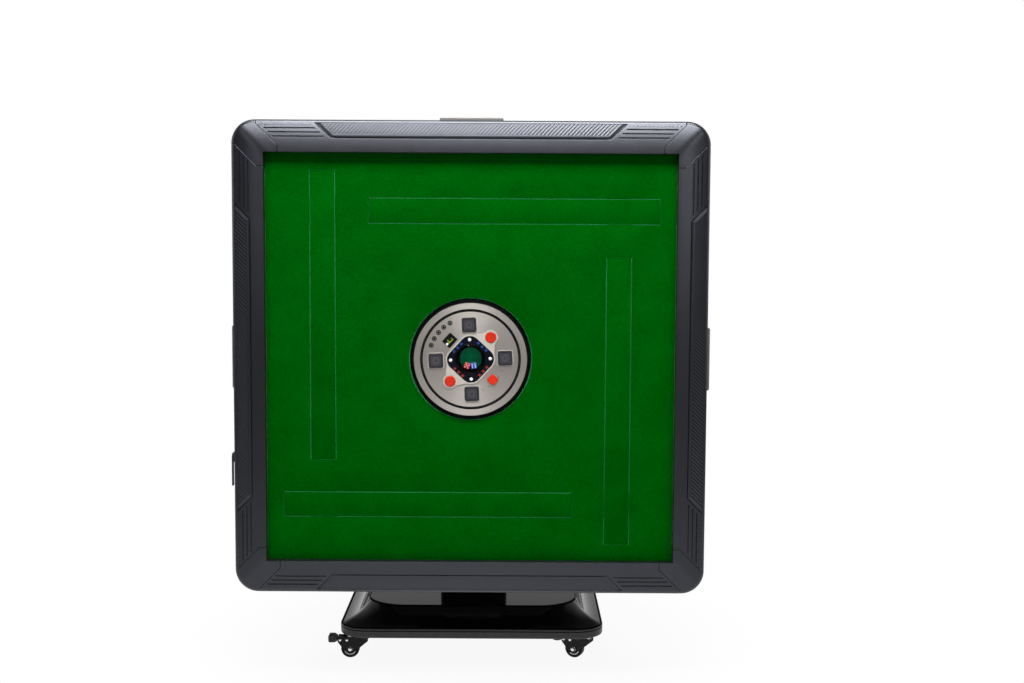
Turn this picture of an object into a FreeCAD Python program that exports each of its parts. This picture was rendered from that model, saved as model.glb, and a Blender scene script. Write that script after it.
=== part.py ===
import FreeCAD, Part
import math
import os
from types import SimpleNamespace

import Sketcher
from FreeCAD import Rotation, Vector

# A folding automatic mahjong table, standing folded: the square top is upright and faces -Y.
# X runs to the right, Z up from the floor, and Y = 0 is the middle of the overall depth.
# Lengths are in millimetres and angles in degrees.
SIZES = {
    # Fold: the pivot line, the panel's centre above it and the frame's front before it.
    "pivot_height": 540,
    "pivot_rise": 130,
    "pivot_depth": 235,
    # Frame round the playing surface: four rails and four corner caps.
    "frame_width": 970,
    "frame_border": 65,
    "frame_depth": 42,
    "frame_wall": 4,
    "frame_corner_radius": 48,
    "frame_edge_radius": 8,
    "lip_wall": 4,
    "seam_along": 50,
    "seam_straight": 8,
    "seam_reach": 93,
    "seam_gap": 1,
    "groove_first": 17,
    "groove_pitch": 8.5,
    "groove_length": 104,
    "groove_width": 2.2,
    "groove_depth": 1.5,
    "band_gap": 8.5,
    "band_inset": 6,
    "band_width": 23.5,
    "band_strip": 7,
    "band_edge": 1.5,
    "band_crest_depth": 0.9,
    "band_groove_depth": 2.2,
    # Playing surface with four tile slots in a pinwheel round the console's hole.
    "cloth_drop": 18,
    "cloth_thickness": 1,
    "board_thickness": 12,
    "board_lap": 20,
    "console_hole": 250,
    "slot_width": 52,
    "slot_margin": 117,
    "slot_near_margin": 35,
    "slot_far_margin": 211,
    "slot_clearance": 0.8,
    # Tile lifts: a plate flush with the cloth on two rods.
    "lift_thickness": 10,
    "lift_travel": 56,
    "lift_rod_radius": 5,
    "lift_rod_margin": 97,
    "lift_guide_wall": 4,
    "lift_guide_length": 98,
    # Machine pan, its bottom cover and the inlet.
    "pan_depth": 203,
    "pan_wall": 3,
    "pan_top_margin": 54,
    "pan_top_radius": 40,
    "pan_bottom_margin": 135,
    "pan_bottom_radius": 60,
    "cover_thickness": 3,
    "vent_length": 90,
    "vent_width": 7,
    "vent_pitch": 15,
    "vent_side_margin": 130,
    "vent_end_margin": 180,
    "inlet_width": 50,
    "inlet_height": 30,
    "inlet_thickness": 12,
    "inlet_wall": 5,
    "inlet_floor": 2.5,
    "inlet_end_margin": 80,
    "prong_width": 6,
    "prong_thickness": 2,
    "prong_spacing": 7,
    "prong_length": 7,
    # Drawers and the sleeves that they run in.
    "drawer_width": 130,
    "drawer_front_thickness": 14,
    "drawer_reach": 10,
    "drawer_radius": 4,
    "drawer_wall": 2.5,
    "drawer_inset": 5,
    "tray_depth": 104,
    "tray_height": 42,
    "sleeve_wall": 2,
    "sleeve_headroom": 8,
    "drawer_clearance": 0.5,
    "sleeve_setback": 4,
    "grip_width": 70,
    "grip_depth": 8,
    "grip_height": 16,
    # Mixing drum, turntable and its friction drive.
    "drum_margin": 57,
    "drum_wall": 3,
    "turntable_clearance": 9,
    "turntable_wall": 4,
    "turntable_drop": 108,
    "turntable_rise": 14,
    "turntable_rim": 20,
    "hub_radius": 46,
    "hub_height": 40,
    "guide_radius": 30,
    "guide_wall": 4,
    "guide_top": 62,
    "guide_shoulder": 46,
    "guide_foot_radius": 58,
    "guide_foot": 6,
    "roller_radius": 20,
    "roller_height": 16,
    "roller_shaft_radius": 4,
    "shaft_seat": 12,
    "motor_radius": 28,
    "motor_collar_radius": 12,
    "motor_height": 58,
    "motor_collar": 5,
    "drum_window": 74,
    "drive_gap": 0.3,
    # Console in the middle of the cloth.
    "console_turn": -2.5,
    "console_flange_radius": 122,
    "console_flange": 5,
    "console_flange_drop": 1,
    "console_radius": 117.5,
    "console_deck_rise": 3,
    "console_depth": 30,
    "console_stem_length": 106,
    "plate_radius": 98,
    "plate_thickness": 3,
    "ring_width": 14,
    "seat_button_width": 29.5,
    "seat_button_radius": 4,
    "seat_button_ring": 71,
    "button_height": 12,
    "button_rise": 2.6,
    "button_travel": 2.5,
    "button_edge": 0.8,
    "button_clearance": 0.5,
    "dice_button_radius": 11,
    "dice_button_ring": 61.5,
    "mode_button_width": 18,
    "mode_button_radius": 4.5,
    "mode_button_ring": 62,
    "display_width": 24.5,
    "display_height": 20.5,
    "display_radius": 1.5,
    "display_ring": 57.5,
    "bezel_width": 80,
    "bezel_radius": 21.5,
    "bezel_rise": 1,
    "trim_width": 3.2,
    "trim_rise": 1.5,
    "bowl_radius": 31,
    "bowl_mouth": 29,
    "bowl_floor_radius": 26.8,
    "bowl_depth": 25,
    "bowl_floor": 2,
    "platform_radius": 26,
    "platform_thickness": 2,
    "platform_shaft_radius": 3,
    "platform_shaft_length": 10,
    "dome_radius": 30,
    "dome_rise": 9,
    "dome_wall": 1.5,
    "die_width": 12,
    "die_radius": 1.2,
    "red_die_x": -7.3,
    "blue_die_x": 6.6,
    "die_drop": 14.6,
    "red_die_turn": 24,
    "blue_die_turn": -8,
    # Hinge between the support head and the pan.
    "leaf_width": 300,
    "leaf_thickness": 6,
    "leaf_below": 64,
    "leaf_above": 236,
    "ear_radius": 18,
    "ear_thickness": 8,
    "ear_offset": 109,
    "ear_gap": 1,
    "pin_radius": 8,
    "pin_head_radius": 12,
    "pin_head": 4,
    # Support head, column and base.
    "head_depth": 210,
    "head_thickness": 8,
    "head_drop": 10,
    "ear_tail": 45,
    "stop_below": 44,
    "stop_height": 18,
    "stop_depth": 18,
    "pad_radius": 14,
    "pad_inset": 30,
    "column_width": 150,
    "column_depth": 110,
    "column_radius": 12,
    "column_wall": 4,
    "foot_margin": 30,
    "foot_thickness": 8,
    "base_width": 574,
    "base_depth": 500,
    "base_corner_radius": 60,
    "base_height": 114,
    "base_plate_thickness": 6,
    "skirt_height": 20,
    "skirt_wall": 14,
    "skirt_edge": 4,
    "cover_wall": 3,
    "cover_ledge": 2,
    "plateau_inset_x": 52,
    "plateau_inset_y": 38,
    "plateau_radius": 90,
    "plateau_margin": 5,
    "plateau_step": 2.5,
    "plateau_edge": 1.2,
    # Castors.
    "caster_height": 54,
    "caster_inset_x": 42,
    "caster_inset_y": 46,
    "caster_plate_width": 46,
    "caster_plate_thickness": 3,
    "race_radius": 17,
    "race_height": 4,
    "king_radius": 5,
    "king_length": 9,
    "trail": 20,
    "wheel_radius": 20,
    "wheel_width": 16,
    "wheel_hub_width": 18,
    "wheel_hub_radius": 7,
    "wheel_rim": 5,
    "wheel_dish": 1.6,
    "tread_edge": 1.5,
    "axle_radius": 3.5,
    "axle_nut_radius": 6,
    "axle_nut": 3,
    "fork_wall": 2,
    "fork_gap": 19,
    "fork_crown_radius": 19,
    "fork_crown": 5,
    "fork_cheek": 9,
    "fork_land": 8,
    "rivet_height": 40,
    "rivet_near": 27,
    "rivet_far": 42,
    "rivet_radius": 2.4,
    "rivet_head_radius": 3.6,
    "rivet_head": 1.2,
    "rivet_margin": 5,
    "pedal_width": 24,
    "pedal_neck": 14,
    "pedal_reach": 68,
    "pedal_thickness": 8,
    "pedal_tip_radius": 4,
    "pedal_tip_length": 13,
    "pedal_tip_height": 15,
    "pedal_tip_rise": 4.5,
    "pedal_clearance": 1.5,
    # Fold-lock lever on the left side.
    "lever_rise": 273,
    "lever_reach": 9,
    "lever_hub_radius": 8,
    "lever_hub_length": 14,
    "lever_length": 64,
    "lever_bar": 2.2,
    "lever_bar_offset": 1.4,
    "lever_pin_radius": 3,
    "lever_pin_length": 16,
    "lever_boss_depth": 24,
    "lever_boss_width": 18,
    "lever_web": 8,
    # Fits.
    "running_fit": 0.06,
    "part_gap": 0.3,
    "overrun": 5,
}

# Outward turns of the four sides about the panel's normal, as seen with the top folded up.
SIDES = {"rear": 0, "right": 90, "front": 180, "left": 270}
# Signs of the corners of the base, and how far each caster fork has swivelled.
CORNERS = {
    "front_left": (-1, -1, 0),
    "front_right": (1, -1, -24),
    "rear_left": (-1, 1, 8),
    "rear_right": (1, 1, -12),
}
BRAKED = ("front_left", "front_right")
# Heights and insets of the sections of the base cover, from its rim to its plateau.
COVER_HEIGHT_SHARES = (0, 0.12, 0.42, 1)
COVER_INSET_SHARES = (0, 0.36, 0.74, 1)
DIAGONAL_SHARE = math.sqrt(0.5)
# Counts of repeated cuts.
GROOVES = 3
VENTS = 8
# Turns about the panel's normal: the pieces between the seats on the console, and the turntable's drive.
DICE_BUTTON_TURNS = {"right": 45, "left": 225}
DISPLAY_TURN = 315
MODE_BUTTON_TURN = 135
DIAMOND_TURN = 45
DRIVE_TURN = 45

doc = FreeCAD.newDocument("folding_mahjong_table")
sheet = doc.addObject("Spreadsheet::Sheet", "Sizes")
for row, (name, value) in enumerate(SIZES.items(), start=1):
    sheet.set(f"A{row}", name)
    sheet.set(f"B{row}", str(value))
    sheet.setAlias(f"B{row}", name)
doc.recompute()


class Size:
    """A length worked out from the sheet, kept as the text of an expression."""

    def __init__(self, text):
        self.text = text

    def __add__(self, other):
        return Size(f"({self.text} + {text_of(other)})")

    def __radd__(self, other):
        return Size(f"({text_of(other)} + {self.text})")

    def __sub__(self, other):
        return Size(f"({self.text} - {text_of(other)})")

    def __rsub__(self, other):
        return Size(f"({text_of(other)} - {self.text})")

    def __mul__(self, other):
        return Size(f"({self.text} * {text_of(other)})")

    __rmul__ = __mul__

    def __truediv__(self, other):
        return Size(f"({self.text} / {text_of(other)})")

    def __neg__(self):
        return Size(f"(0 - {self.text})")

    def __float__(self):
        return float(sheet.evalExpression(self.text))


def text_of(value):
    return value.text if isinstance(value, Size) else repr(value)


s = SimpleNamespace(**{name: Size(f"Sizes.{name}") for name in SIZES})
parts = {}


# Places that several pieces share. Depths run back from the frame's front plane.
front_y = -(s.pivot_depth + s.pivot_rise + s.base_depth / 2) / 2
base_y = front_y + s.pivot_depth + s.pivot_rise
panel_z = s.pivot_height + s.pivot_rise
frame_half = s.frame_width / 2
opening_half = frame_half - s.frame_border
slot_length = 2 * opening_half - s.slot_near_margin - s.slot_far_margin
slot_shift = opening_half - s.slot_near_margin - slot_length / 2
slot_distance = opening_half - s.slot_margin
pan_top_width = s.frame_width - 2 * s.pan_top_margin
pan_bottom_width = s.frame_width - 2 * s.pan_bottom_margin
drum_radius = slot_distance - s.drum_margin
turntable_radius = drum_radius - s.turntable_clearance
cloth_back = s.cloth_drop + s.cloth_thickness
board_back = cloth_back + s.board_thickness
flange_back = board_back + s.pan_wall
leaf_front = s.pan_depth
leaf_back = leaf_front + s.leaf_thickness
pan_back = s.pan_depth - s.cover_thickness
deck = s.cloth_drop - s.console_deck_rise
plate_front = deck - s.plate_thickness
bezel_front = plate_front - s.bezel_rise
bowl_front = bezel_front
platform_front = bowl_front + s.bowl_depth - s.platform_thickness - s.part_gap
well_back = plate_front - s.button_rise + s.button_height + s.button_travel + s.part_gap
sleeve_front = flange_back
tray_front = sleeve_front + s.sleeve_wall + s.sleeve_headroom
tray_back = tray_front + s.tray_height
sleeve_back = tray_back + s.drawer_clearance + s.sleeve_wall
sleeve_end = frame_half - s.sleeve_setback
tray_end = sleeve_end - s.tray_depth
tray_half = s.drawer_width / 2 - s.drawer_inset
sleeve_half = tray_half + s.drawer_clearance + s.sleeve_wall
rim_front = s.turntable_drop
rim_back = rim_front + s.turntable_rim
roller_distance = turntable_radius + s.roller_radius + s.drive_gap
motor_front = pan_back - s.motor_height
base_top = s.caster_height + s.base_plate_thickness
skirt_top = s.caster_height + s.skirt_height
leaf_drop = s.pivot_depth - leaf_back
head_top = s.pivot_height + leaf_drop - s.head_drop
fork_top = s.caster_height - s.caster_plate_thickness - s.race_height - s.part_gap
lever_x = -(frame_half + s.lever_reach)
lever_z = s.lever_rise - frame_half
lever_front = s.frame_depth + s.overrun
boss_back = lever_front + s.lever_boss_depth


# Building blocks.
def bind(obj, name, size):
    """Tie one property of a document object to the sheet."""
    if isinstance(size, Size):
        obj.setExpression(name, size.text)
    elif size:
        raise ValueError(f"{name} takes a named size")


def place(obj, x=0, y=0, z=0, turn=0, axis=(0, 1, 0)):
    """Give a piece its place, after a turn about an axis through its own origin."""
    obj.Placement = FreeCAD.Placement(Vector(0, 0, 0), Rotation(Vector(*axis), float(turn)))
    for letter, size in zip("xyz", (x, y, z)):
        bind(obj, f"Placement.Base.{letter}", size)
    return obj


def on_panel(obj, turn=0):
    """Place a piece that was drawn about the panel's centre, with depth as Y."""
    return place(obj, 0, front_y, panel_z, turn)


def on_console(obj, turn=0):
    return on_panel(obj, float(s.console_turn) + turn)


def on_base(obj):
    return place(obj, 0, base_y, 0)


def keep(node, obj):
    """Name a finished sub-part."""
    obj.Label = node
    parts[node] = obj
    return obj


def span(width):
    return (-width / 2, width / 2)


def block(name, x, y, z):
    """A box between pairs of limits."""
    box = doc.addObject("Part::Box", name)
    for side, letter, (low, high) in zip(("Length", "Width", "Height"), "xyz", (x, y, z)):
        bind(box, side, high - low)
        bind(box, f"Placement.Base.{letter}", low)
    return box


LYING = {"x": Rotation(Vector(0, 1, 0), 90), "y": Rotation(Vector(1, 0, 0), -90), "z": Rotation()}


def rod(name, radius, axis, limits, x=0, y=0, z=0):
    """A round bar along one axis between two limits."""
    low, high = limits
    bar = doc.addObject("Part::Cylinder", name)
    bind(bar, "Radius", radius)
    bind(bar, "Height", high - low)
    bar.Placement = FreeCAD.Placement(Vector(0, 0, 0), LYING[axis])
    start = {"x": x, "y": y, "z": z, axis: low}
    for letter, size in start.items():
        bind(bar, f"Placement.Base.{letter}", size)
    return bar


def fuse(name, *pieces):
    joined = doc.addObject("Part::MultiFuse", name)
    joined.Shapes = list(pieces)
    joined.Refine = True
    return joined


def group(name, *pieces):
    gathered = doc.addObject("Part::Compound", name)
    gathered.Links = list(pieces)
    return gathered


def cut(name, base, *tools):
    result = doc.addObject("Part::Cut", name)
    result.Base = base
    result.Tool = tools[0] if len(tools) == 1 else fuse(f"{name}_tools", *tools)
    result.Refine = True
    return result


def common(name, base, tool):
    result = doc.addObject("Part::Common", name)
    result.Base = base
    result.Tool = tool
    return result


def new_body(name):
    return doc.addObject("PartDesign::Body", name)


def origin_feature(body, role):
    return next(feature for feature in body.Origin.OriginFeatures if feature.Role == role)


def new_sketch(body, role, offset=0):
    sketch = body.newObject("Sketcher::SketchObject", f"{body.Name}_outline")
    sketch.AttachmentSupport = [(origin_feature(body, role), "")]
    sketch.MapMode = "FlatFace"
    bind(sketch, "AttachmentOffset.Base.z", offset)
    return sketch


def front_sketch(body, depth):
    """A sketch seen from the front, at a depth behind the front plane."""
    return new_sketch(body, "XZ_Plane", -depth if isinstance(depth, Size) else 0)


def drive(sketch, kind, places, size):
    """Add a driving constraint tied to the sheet."""
    index = sketch.addConstraint(Sketcher.Constraint(kind, *places, float(size)))
    bind(sketch, f"Constraints[{index}]", size)


def pin(sketch, line, point, x, y):
    drive(sketch, "DistanceX", (-1, 1, line, point), x)
    drive(sketch, "DistanceY", (-1, 1, line, point), y)


def polygon(sketch, points):
    """A closed outline of straight lines."""
    first = sketch.GeometryCount
    spots = [Vector(float(x), float(y), 0) for x, y in points]
    lines = [Part.LineSegment(a, b) for a, b in zip(spots, spots[1:] + spots[:1])]
    sketch.addGeometry(lines, False)
    count = len(points)
    for i, (x, y) in enumerate(points):
        sketch.addConstraint(Sketcher.Constraint("Coincident", first + i, 2, first + (i + 1) % count, 1))
        pin(sketch, first + i, 1, x, y)


def rectangle(sketch, x, y):
    polygon(sketch, [(x[0], y[0]), (x[1], y[0]), (x[1], y[1]), (x[0], y[1])])


def circle(sketch, radius, x=0, y=0):
    line = sketch.GeometryCount
    centre = Vector(float(x), float(y), 0)
    sketch.addGeometry(Part.Circle(centre, Vector(0, 0, 1), float(radius)), False)
    pin(sketch, line, 3, x, y)
    drive(sketch, "Radius", (line,), radius)


def rounded_rectangle(sketch, width, height, radius, y=0):
    """A rectangle about the sketch's upright axis, its corners arcs that run into the sides."""
    first = sketch.GeometryCount
    reach_x = width / 2 - radius
    reach_y = height / 2 - radius
    centres = [
        (-reach_x, y - reach_y),
        (reach_x, y - reach_y),
        (reach_x, y + reach_y),
        (-reach_x, y + reach_y),
    ]
    arcs = []
    for i, (x, z) in enumerate(centres):
        ring = Part.Circle(Vector(float(x), float(z), 0), Vector(0, 0, 1), float(radius))
        start = math.pi + i * math.pi / 2
        arcs.append(Part.ArcOfCircle(ring, start, start + math.pi / 2))
    sides = [Part.LineSegment(arcs[i].EndPoint, arcs[(i + 1) % 4].StartPoint) for i in range(4)]
    sketch.addGeometry(arcs + sides, False)
    for i, (x, z) in enumerate(centres):
        side = first + len(arcs) + i
        following = first + (i + 1) % len(arcs)
        sketch.addConstraint(Sketcher.Constraint("Tangent", first + i, 2, side, 1))
        sketch.addConstraint(Sketcher.Constraint("Tangent", side, 2, following, 1))
        pin(sketch, first + i, 3, x, z)
        drive(sketch, "Radius", (first + i,), radius)


def pad(body, sketch, length, backwards=False):
    feature = body.newObject("PartDesign::Pad", f"{body.Name}_pad")
    feature.Profile = sketch
    feature.Reversed = backwards
    bind(feature, "Length", length)
    return feature


def pocket(body, sketch, length):
    feature = body.newObject("PartDesign::Pocket", f"{body.Name}_pocket")
    feature.Profile = sketch
    bind(feature, "Length", length)
    return feature


def loft(body, kind, sketches):
    feature = body.newObject(f"PartDesign::{kind}Loft", f"{body.Name}_loft")
    feature.Profile = sketches[0]
    feature.Sections = sketches[1:]
    return feature


def four_sides(body, *features):
    """Repeat features on the four sides of the panel."""
    pattern = body.newObject("PartDesign::PolarPattern", f"{body.Name}_sides")
    pattern.Originals = list(features)
    pattern.Axis = (origin_feature(body, "Y_Axis"), [""])
    pattern.Angle = 360
    pattern.Occurrences = len(SIDES)
    body.Tip = pattern
    return pattern


def round_edges(body, feature, radius, chosen):
    """Round the edges of a body's last feature that a test picks out."""
    doc.recompute()
    names = [f"Edge{i}" for i, edge in enumerate(feature.Shape.Edges, start=1) if chosen(edge)]
    fillet = body.newObject("PartDesign::Fillet", f"{body.Name}_fillet")
    fillet.Base = (feature, names)
    bind(fillet, "Radius", radius)
    return fillet


def lies_at(letter, level):
    """A test for edges that lie in one plane across an axis."""
    low, high = f"{letter.upper()}Min", f"{letter.upper()}Max"
    wanted = float(level)

    def chosen(edge):
        box = edge.BoundBox
        return math.isclose(getattr(box, low), wanted, abs_tol=1e-4) and math.isclose(
            getattr(box, high), wanted, abs_tol=1e-4
        )

    return chosen


def turned(name, points):
    """A solid of revolution about Y from its radius and depth outline."""
    body = new_body(name)
    sketch = new_sketch(body, "XY_Plane")
    polygon(sketch, points)
    feature = body.newObject("PartDesign::Revolution", f"{name}_turn")
    feature.Profile = sketch
    feature.ReferenceAxis = (sketch, ["V_Axis"])
    feature.Angle = 360
    return body


def slab(name, front, back, outline):
    """A body seen from the front, between two depths, with an outline drawn by a function."""
    body = new_body(name)
    sketch = front_sketch(body, back)
    outline(sketch)
    pad(body, sketch, back - front)
    return body


def key(name, width, height, radius, front, back, ring):
    """A rounded rectangular key above the console's centre."""

    def outline(sketch):
        rounded_rectangle(sketch, width, height, radius, ring)

    return slab(name, front, back, outline)


# Frame: one moulded ring, hollow behind, is detailed and then parted at the seams.
def rail_point(along, across):
    """A point of the rear rail from its left outer corner."""
    return (along - frame_half, frame_half - across)


def mirrored(points):
    return [(-x, z) for x, z in reversed(points)]


def frame_ring():
    body = new_body("frame_ring")
    outline = front_sketch(body, s.frame_depth)
    rounded_rectangle(outline, s.frame_width, s.frame_width, s.frame_corner_radius)
    ring = pad(body, outline, s.frame_depth)
    round_edges(body, ring, s.frame_edge_radius, lies_at("y", 0))
    opening = front_sketch(body, 0)
    rectangle(opening, (-opening_half, opening_half), (-opening_half, opening_half))
    pocket(body, opening, s.frame_depth)
    inner_width = s.frame_width - 2 * s.frame_wall
    inner_radius = s.frame_corner_radius - s.frame_wall
    seat = front_sketch(body, cloth_back)
    rounded_rectangle(seat, inner_width, inner_width, inner_radius)
    pocket(body, seat, s.frame_depth - cloth_back)
    hollow = front_sketch(body, s.frame_wall)
    rounded_rectangle(hollow, inner_width, inner_width, inner_radius)
    lip_half = opening_half + s.lip_wall
    rectangle(hollow, (-lip_half, lip_half), (-lip_half, lip_half))
    pocket(body, hollow, cloth_back - s.frame_wall)
    four_sides(body, rail_grooves(body))
    return body


def rail_band(side):
    """A cutter for the sunk band: a floor for the ribs, with a steep-edged groove along three of its sides."""
    start = s.seam_along + s.groove_length + s.band_gap
    crest = s.band_inset + s.band_width
    groove = crest + s.band_strip
    rim = groove + s.band_edge
    body = new_body(f"band_{side}")

    def level(depth, inner_edge):
        shift = (rim - inner_edge) / DIAGONAL_SHARE
        left = [
            rail_point(start + s.band_inset + shift, s.band_inset),
            rail_point(start + inner_edge + shift, inner_edge),
        ]
        sketch = front_sketch(body, depth)
        polygon(sketch, left + mirrored(left))
        return sketch

    loft(body, "Additive", [level(0, rim), level(s.band_groove_depth, groove)])
    loft(body, "Subtractive", [level(s.band_groove_depth, groove), level(s.band_crest_depth, crest)])
    return body


def rail_grooves(body):
    """Three staggered grooves at each end of a rail."""
    sketch = front_sketch(body, 0)
    for count in range(GROOVES):
        across = s.groove_first + count * s.groove_pitch
        start, level = rail_point(s.seam_along + across, across)
        end = start + s.groove_length
        heights = (level - s.groove_width / 2, level + s.groove_width / 2)
        rectangle(sketch, (start, end), heights)
        rectangle(sketch, (-end, -start), heights)
    return pocket(body, sketch, s.groove_depth)


seam_across = s.seam_reach - s.seam_along + s.seam_straight
bands = [place(rail_band(side), turn=turn) for side, turn in SIDES.items()]
ring = cut("frame_ring_banded", frame_ring(), *bands)


def corner_region(sketch):
    outer = [
        rail_point(s.seam_along, -s.overrun),
        rail_point(s.seam_along, s.seam_straight),
        rail_point(s.seam_reach, seam_across),
        rail_point(s.seam_reach, s.seam_reach),
    ]
    flipped = [(-z, -x) for x, z in reversed(outer[:-1])]
    polygon(sketch, outer + flipped + [rail_point(-s.overrun, -s.overrun)])


def rail_region(sketch):
    left = [
        rail_point(s.seam_along + s.seam_gap, -s.overrun),
        rail_point(s.seam_along + s.seam_gap, s.seam_straight),
        rail_point(s.seam_reach + s.seam_gap, seam_across),
        rail_point(s.seam_reach + s.seam_gap, s.frame_border + s.overrun),
    ]
    polygon(sketch, left + mirrored(left))


corner_prisms = []
for side, turn in SIDES.items():
    rail_prism = place(slab(f"rail_region_{side}", 0, s.frame_depth, rail_region), turn=turn)
    keep(f"frame_rail_{side}", on_panel(common(f"frame_rail_{side}", ring, rail_prism)))
    corner_prisms.append(place(slab(f"corner_region_{side}", 0, s.frame_depth, corner_region), turn=turn))
corner_caps = common("frame_corner_caps", ring, group("corner_regions", *corner_prisms))
keep("frame_corner_caps", on_panel(corner_caps))


# Tabletop board under the frame's lip, and the cloth bonded to it inside the frame.
def slotted_sheet(name, half, front, back):
    """A square sheet with the console's hole and the four tile slots."""
    body = slab(name, front, back, lambda sketch: rectangle(sketch, (-half, half), (-half, half)))
    hole = front_sketch(body, front)
    circle(hole, s.console_hole / 2)
    pocket(body, hole, back - front)
    slot = front_sketch(body, front)
    rectangle(slot, slot_span(slot_length), slot_rows(s.slot_width))
    four_sides(body, pocket(body, slot, back - front))
    return body


def slot_span(length):
    return (slot_shift - length / 2, slot_shift + length / 2)


def slot_rows(width):
    return (slot_distance - width / 2, slot_distance + width / 2)


board = slotted_sheet("tabletop_board", opening_half + s.board_lap, cloth_back, board_back)
cloth = slotted_sheet("playing_cloth", opening_half - s.part_gap, s.cloth_drop, cloth_back)
keep("tabletop_board", on_panel(board))
keep("playing_cloth", on_panel(cloth))


# Tile lifts: a plate that fills its slot, on two rods.
rod_end = pan_back - s.lift_travel - s.overrun
rod_reach = slot_length / 2 - s.lift_rod_margin
rod_places = (slot_shift - rod_reach, slot_shift + rod_reach)


def tile_lift(name):
    plate_back = s.cloth_drop + s.lift_thickness

    def plate(sketch):
        length = slot_length - 2 * s.slot_clearance
        width = s.slot_width - 2 * s.slot_clearance
        rectangle(sketch, slot_span(length), slot_rows(width))

    body = slab(name, s.cloth_drop, plate_back, plate)
    rods = front_sketch(body, plate_back)
    for x in rod_places:
        circle(rods, s.lift_rod_radius, x, slot_distance)
    pad(body, rods, rod_end - plate_back, backwards=True)
    return body


for side, turn in SIDES.items():
    keep(f"tile_lift_{side}", on_panel(tile_lift(f"tile_lift_{side}"), turn))


# Machine pan: a tapered shell under a flange, open where the drawer sleeves pass.
def square_section(body, depth, width, radius):
    sketch = front_sketch(body, depth)
    rounded_rectangle(sketch, width, width, radius)
    return sketch


def machine_pan():
    body = new_body("machine_pan")
    top = (board_back, pan_top_width, s.pan_top_radius)
    bottom = (pan_back, pan_bottom_width, s.pan_bottom_radius)
    loft(body, "Additive", [square_section(body, *top), square_section(body, *bottom)])
    fit = s.frame_wall + s.part_gap
    flange = square_section(body, flange_back, s.frame_width - 2 * fit, s.frame_corner_radius - fit)
    pad(body, flange, s.pan_wall)
    inner = []
    for depth, width, radius in (top, bottom):
        inner.append(square_section(body, depth, width - 2 * s.pan_wall, radius - s.pan_wall))
    loft(body, "Subtractive", inner)
    mouth = new_sketch(body, "XY_Plane")
    half = sleeve_half + s.part_gap
    rectangle(mouth, (-half, half), (sleeve_front, sleeve_back + s.part_gap))
    opening = pocket(body, mouth, frame_half)
    opening.Reversed = True
    four_sides(body, opening)
    return body


def lever_boss():
    """The block under the flange that carries the fold-lock lever's pin."""
    rows = (lever_z - s.lever_boss_width / 2, lever_z + s.lever_boss_width / 2)
    outer = lever_x - s.lever_hub_radius / 2
    web_start = s.frame_wall + s.part_gap - frame_half
    inner = web_start + s.lever_web
    web = block("lever_web", (web_start, inner), (flange_back, lever_front), rows)
    bearing = block("lever_bearing", (outer, inner), (lever_front, boss_back), rows)
    return fuse("lever_boss", web, bearing)


lever_bore = rod(
    "lever_bore",
    s.lever_pin_radius + s.running_fit,
    "y",
    (boss_back - s.lever_pin_length - s.overrun / 2, boss_back + s.overrun),
    x=lever_x,
    z=lever_z,
)
pan = cut("pan_shell", fuse("pan_with_boss", machine_pan(), lever_boss()), lever_bore)
keep("machine_pan", on_panel(pan))


# Bottom cover with two banks of vents and the tubes that guide the lifts' rods.
def bottom_cover():
    body = slab(
        "bottom_cover",
        pan_back,
        s.pan_depth,
        lambda sketch: rounded_rectangle(
            sketch, pan_bottom_width, pan_bottom_width, s.pan_bottom_radius
        ),
    )
    vents = front_sketch(body, pan_back)
    start = pan_bottom_width / 2 - s.vent_end_margin
    rows = (start, start + s.vent_width)
    spread = pan_bottom_width / 2 - s.vent_side_margin
    for middle in (-spread, spread):
        rectangle(vents, (middle - s.vent_length / 2, middle + s.vent_length / 2), rows)
    vent = pocket(body, vents, s.cover_thickness)
    bank = body.newObject("PartDesign::LinearPattern", "vent_bank")
    bank.Originals = [vent]
    bank.Direction = (origin_feature(body, "Z_Axis"), [""])
    bank.Occurrences = VENTS
    bind(bank, "Length", (VENTS - 1) * s.vent_pitch)
    bank.Reversed = True
    body.Tip = bank
    return body


def lift_guides():
    """Two tubes under each tile lift."""
    bore = s.lift_rod_radius + s.running_fit
    limits = (pan_back - s.lift_guide_length, pan_back)
    bore_limits = (pan_back - s.lift_guide_length - s.overrun, pan_back)
    tubes = []
    for side, turn in SIDES.items():
        outer = []
        inner = []
        for x in rod_places:
            outer.append(rod("guide_tube", bore + s.lift_guide_wall, "y", limits, x=x, z=slot_distance))
            inner.append(rod("guide_bore", bore, "y", bore_limits, x=x, z=slot_distance))
        pair = cut(f"guides_{side}", group(f"guide_tubes_{side}", *outer), *inner)
        tubes.append(place(pair, turn=turn))
    return tubes


keep("bottom_cover", on_panel(fuse("bottom_cover_assembly", bottom_cover(), *lift_guides())))


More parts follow.
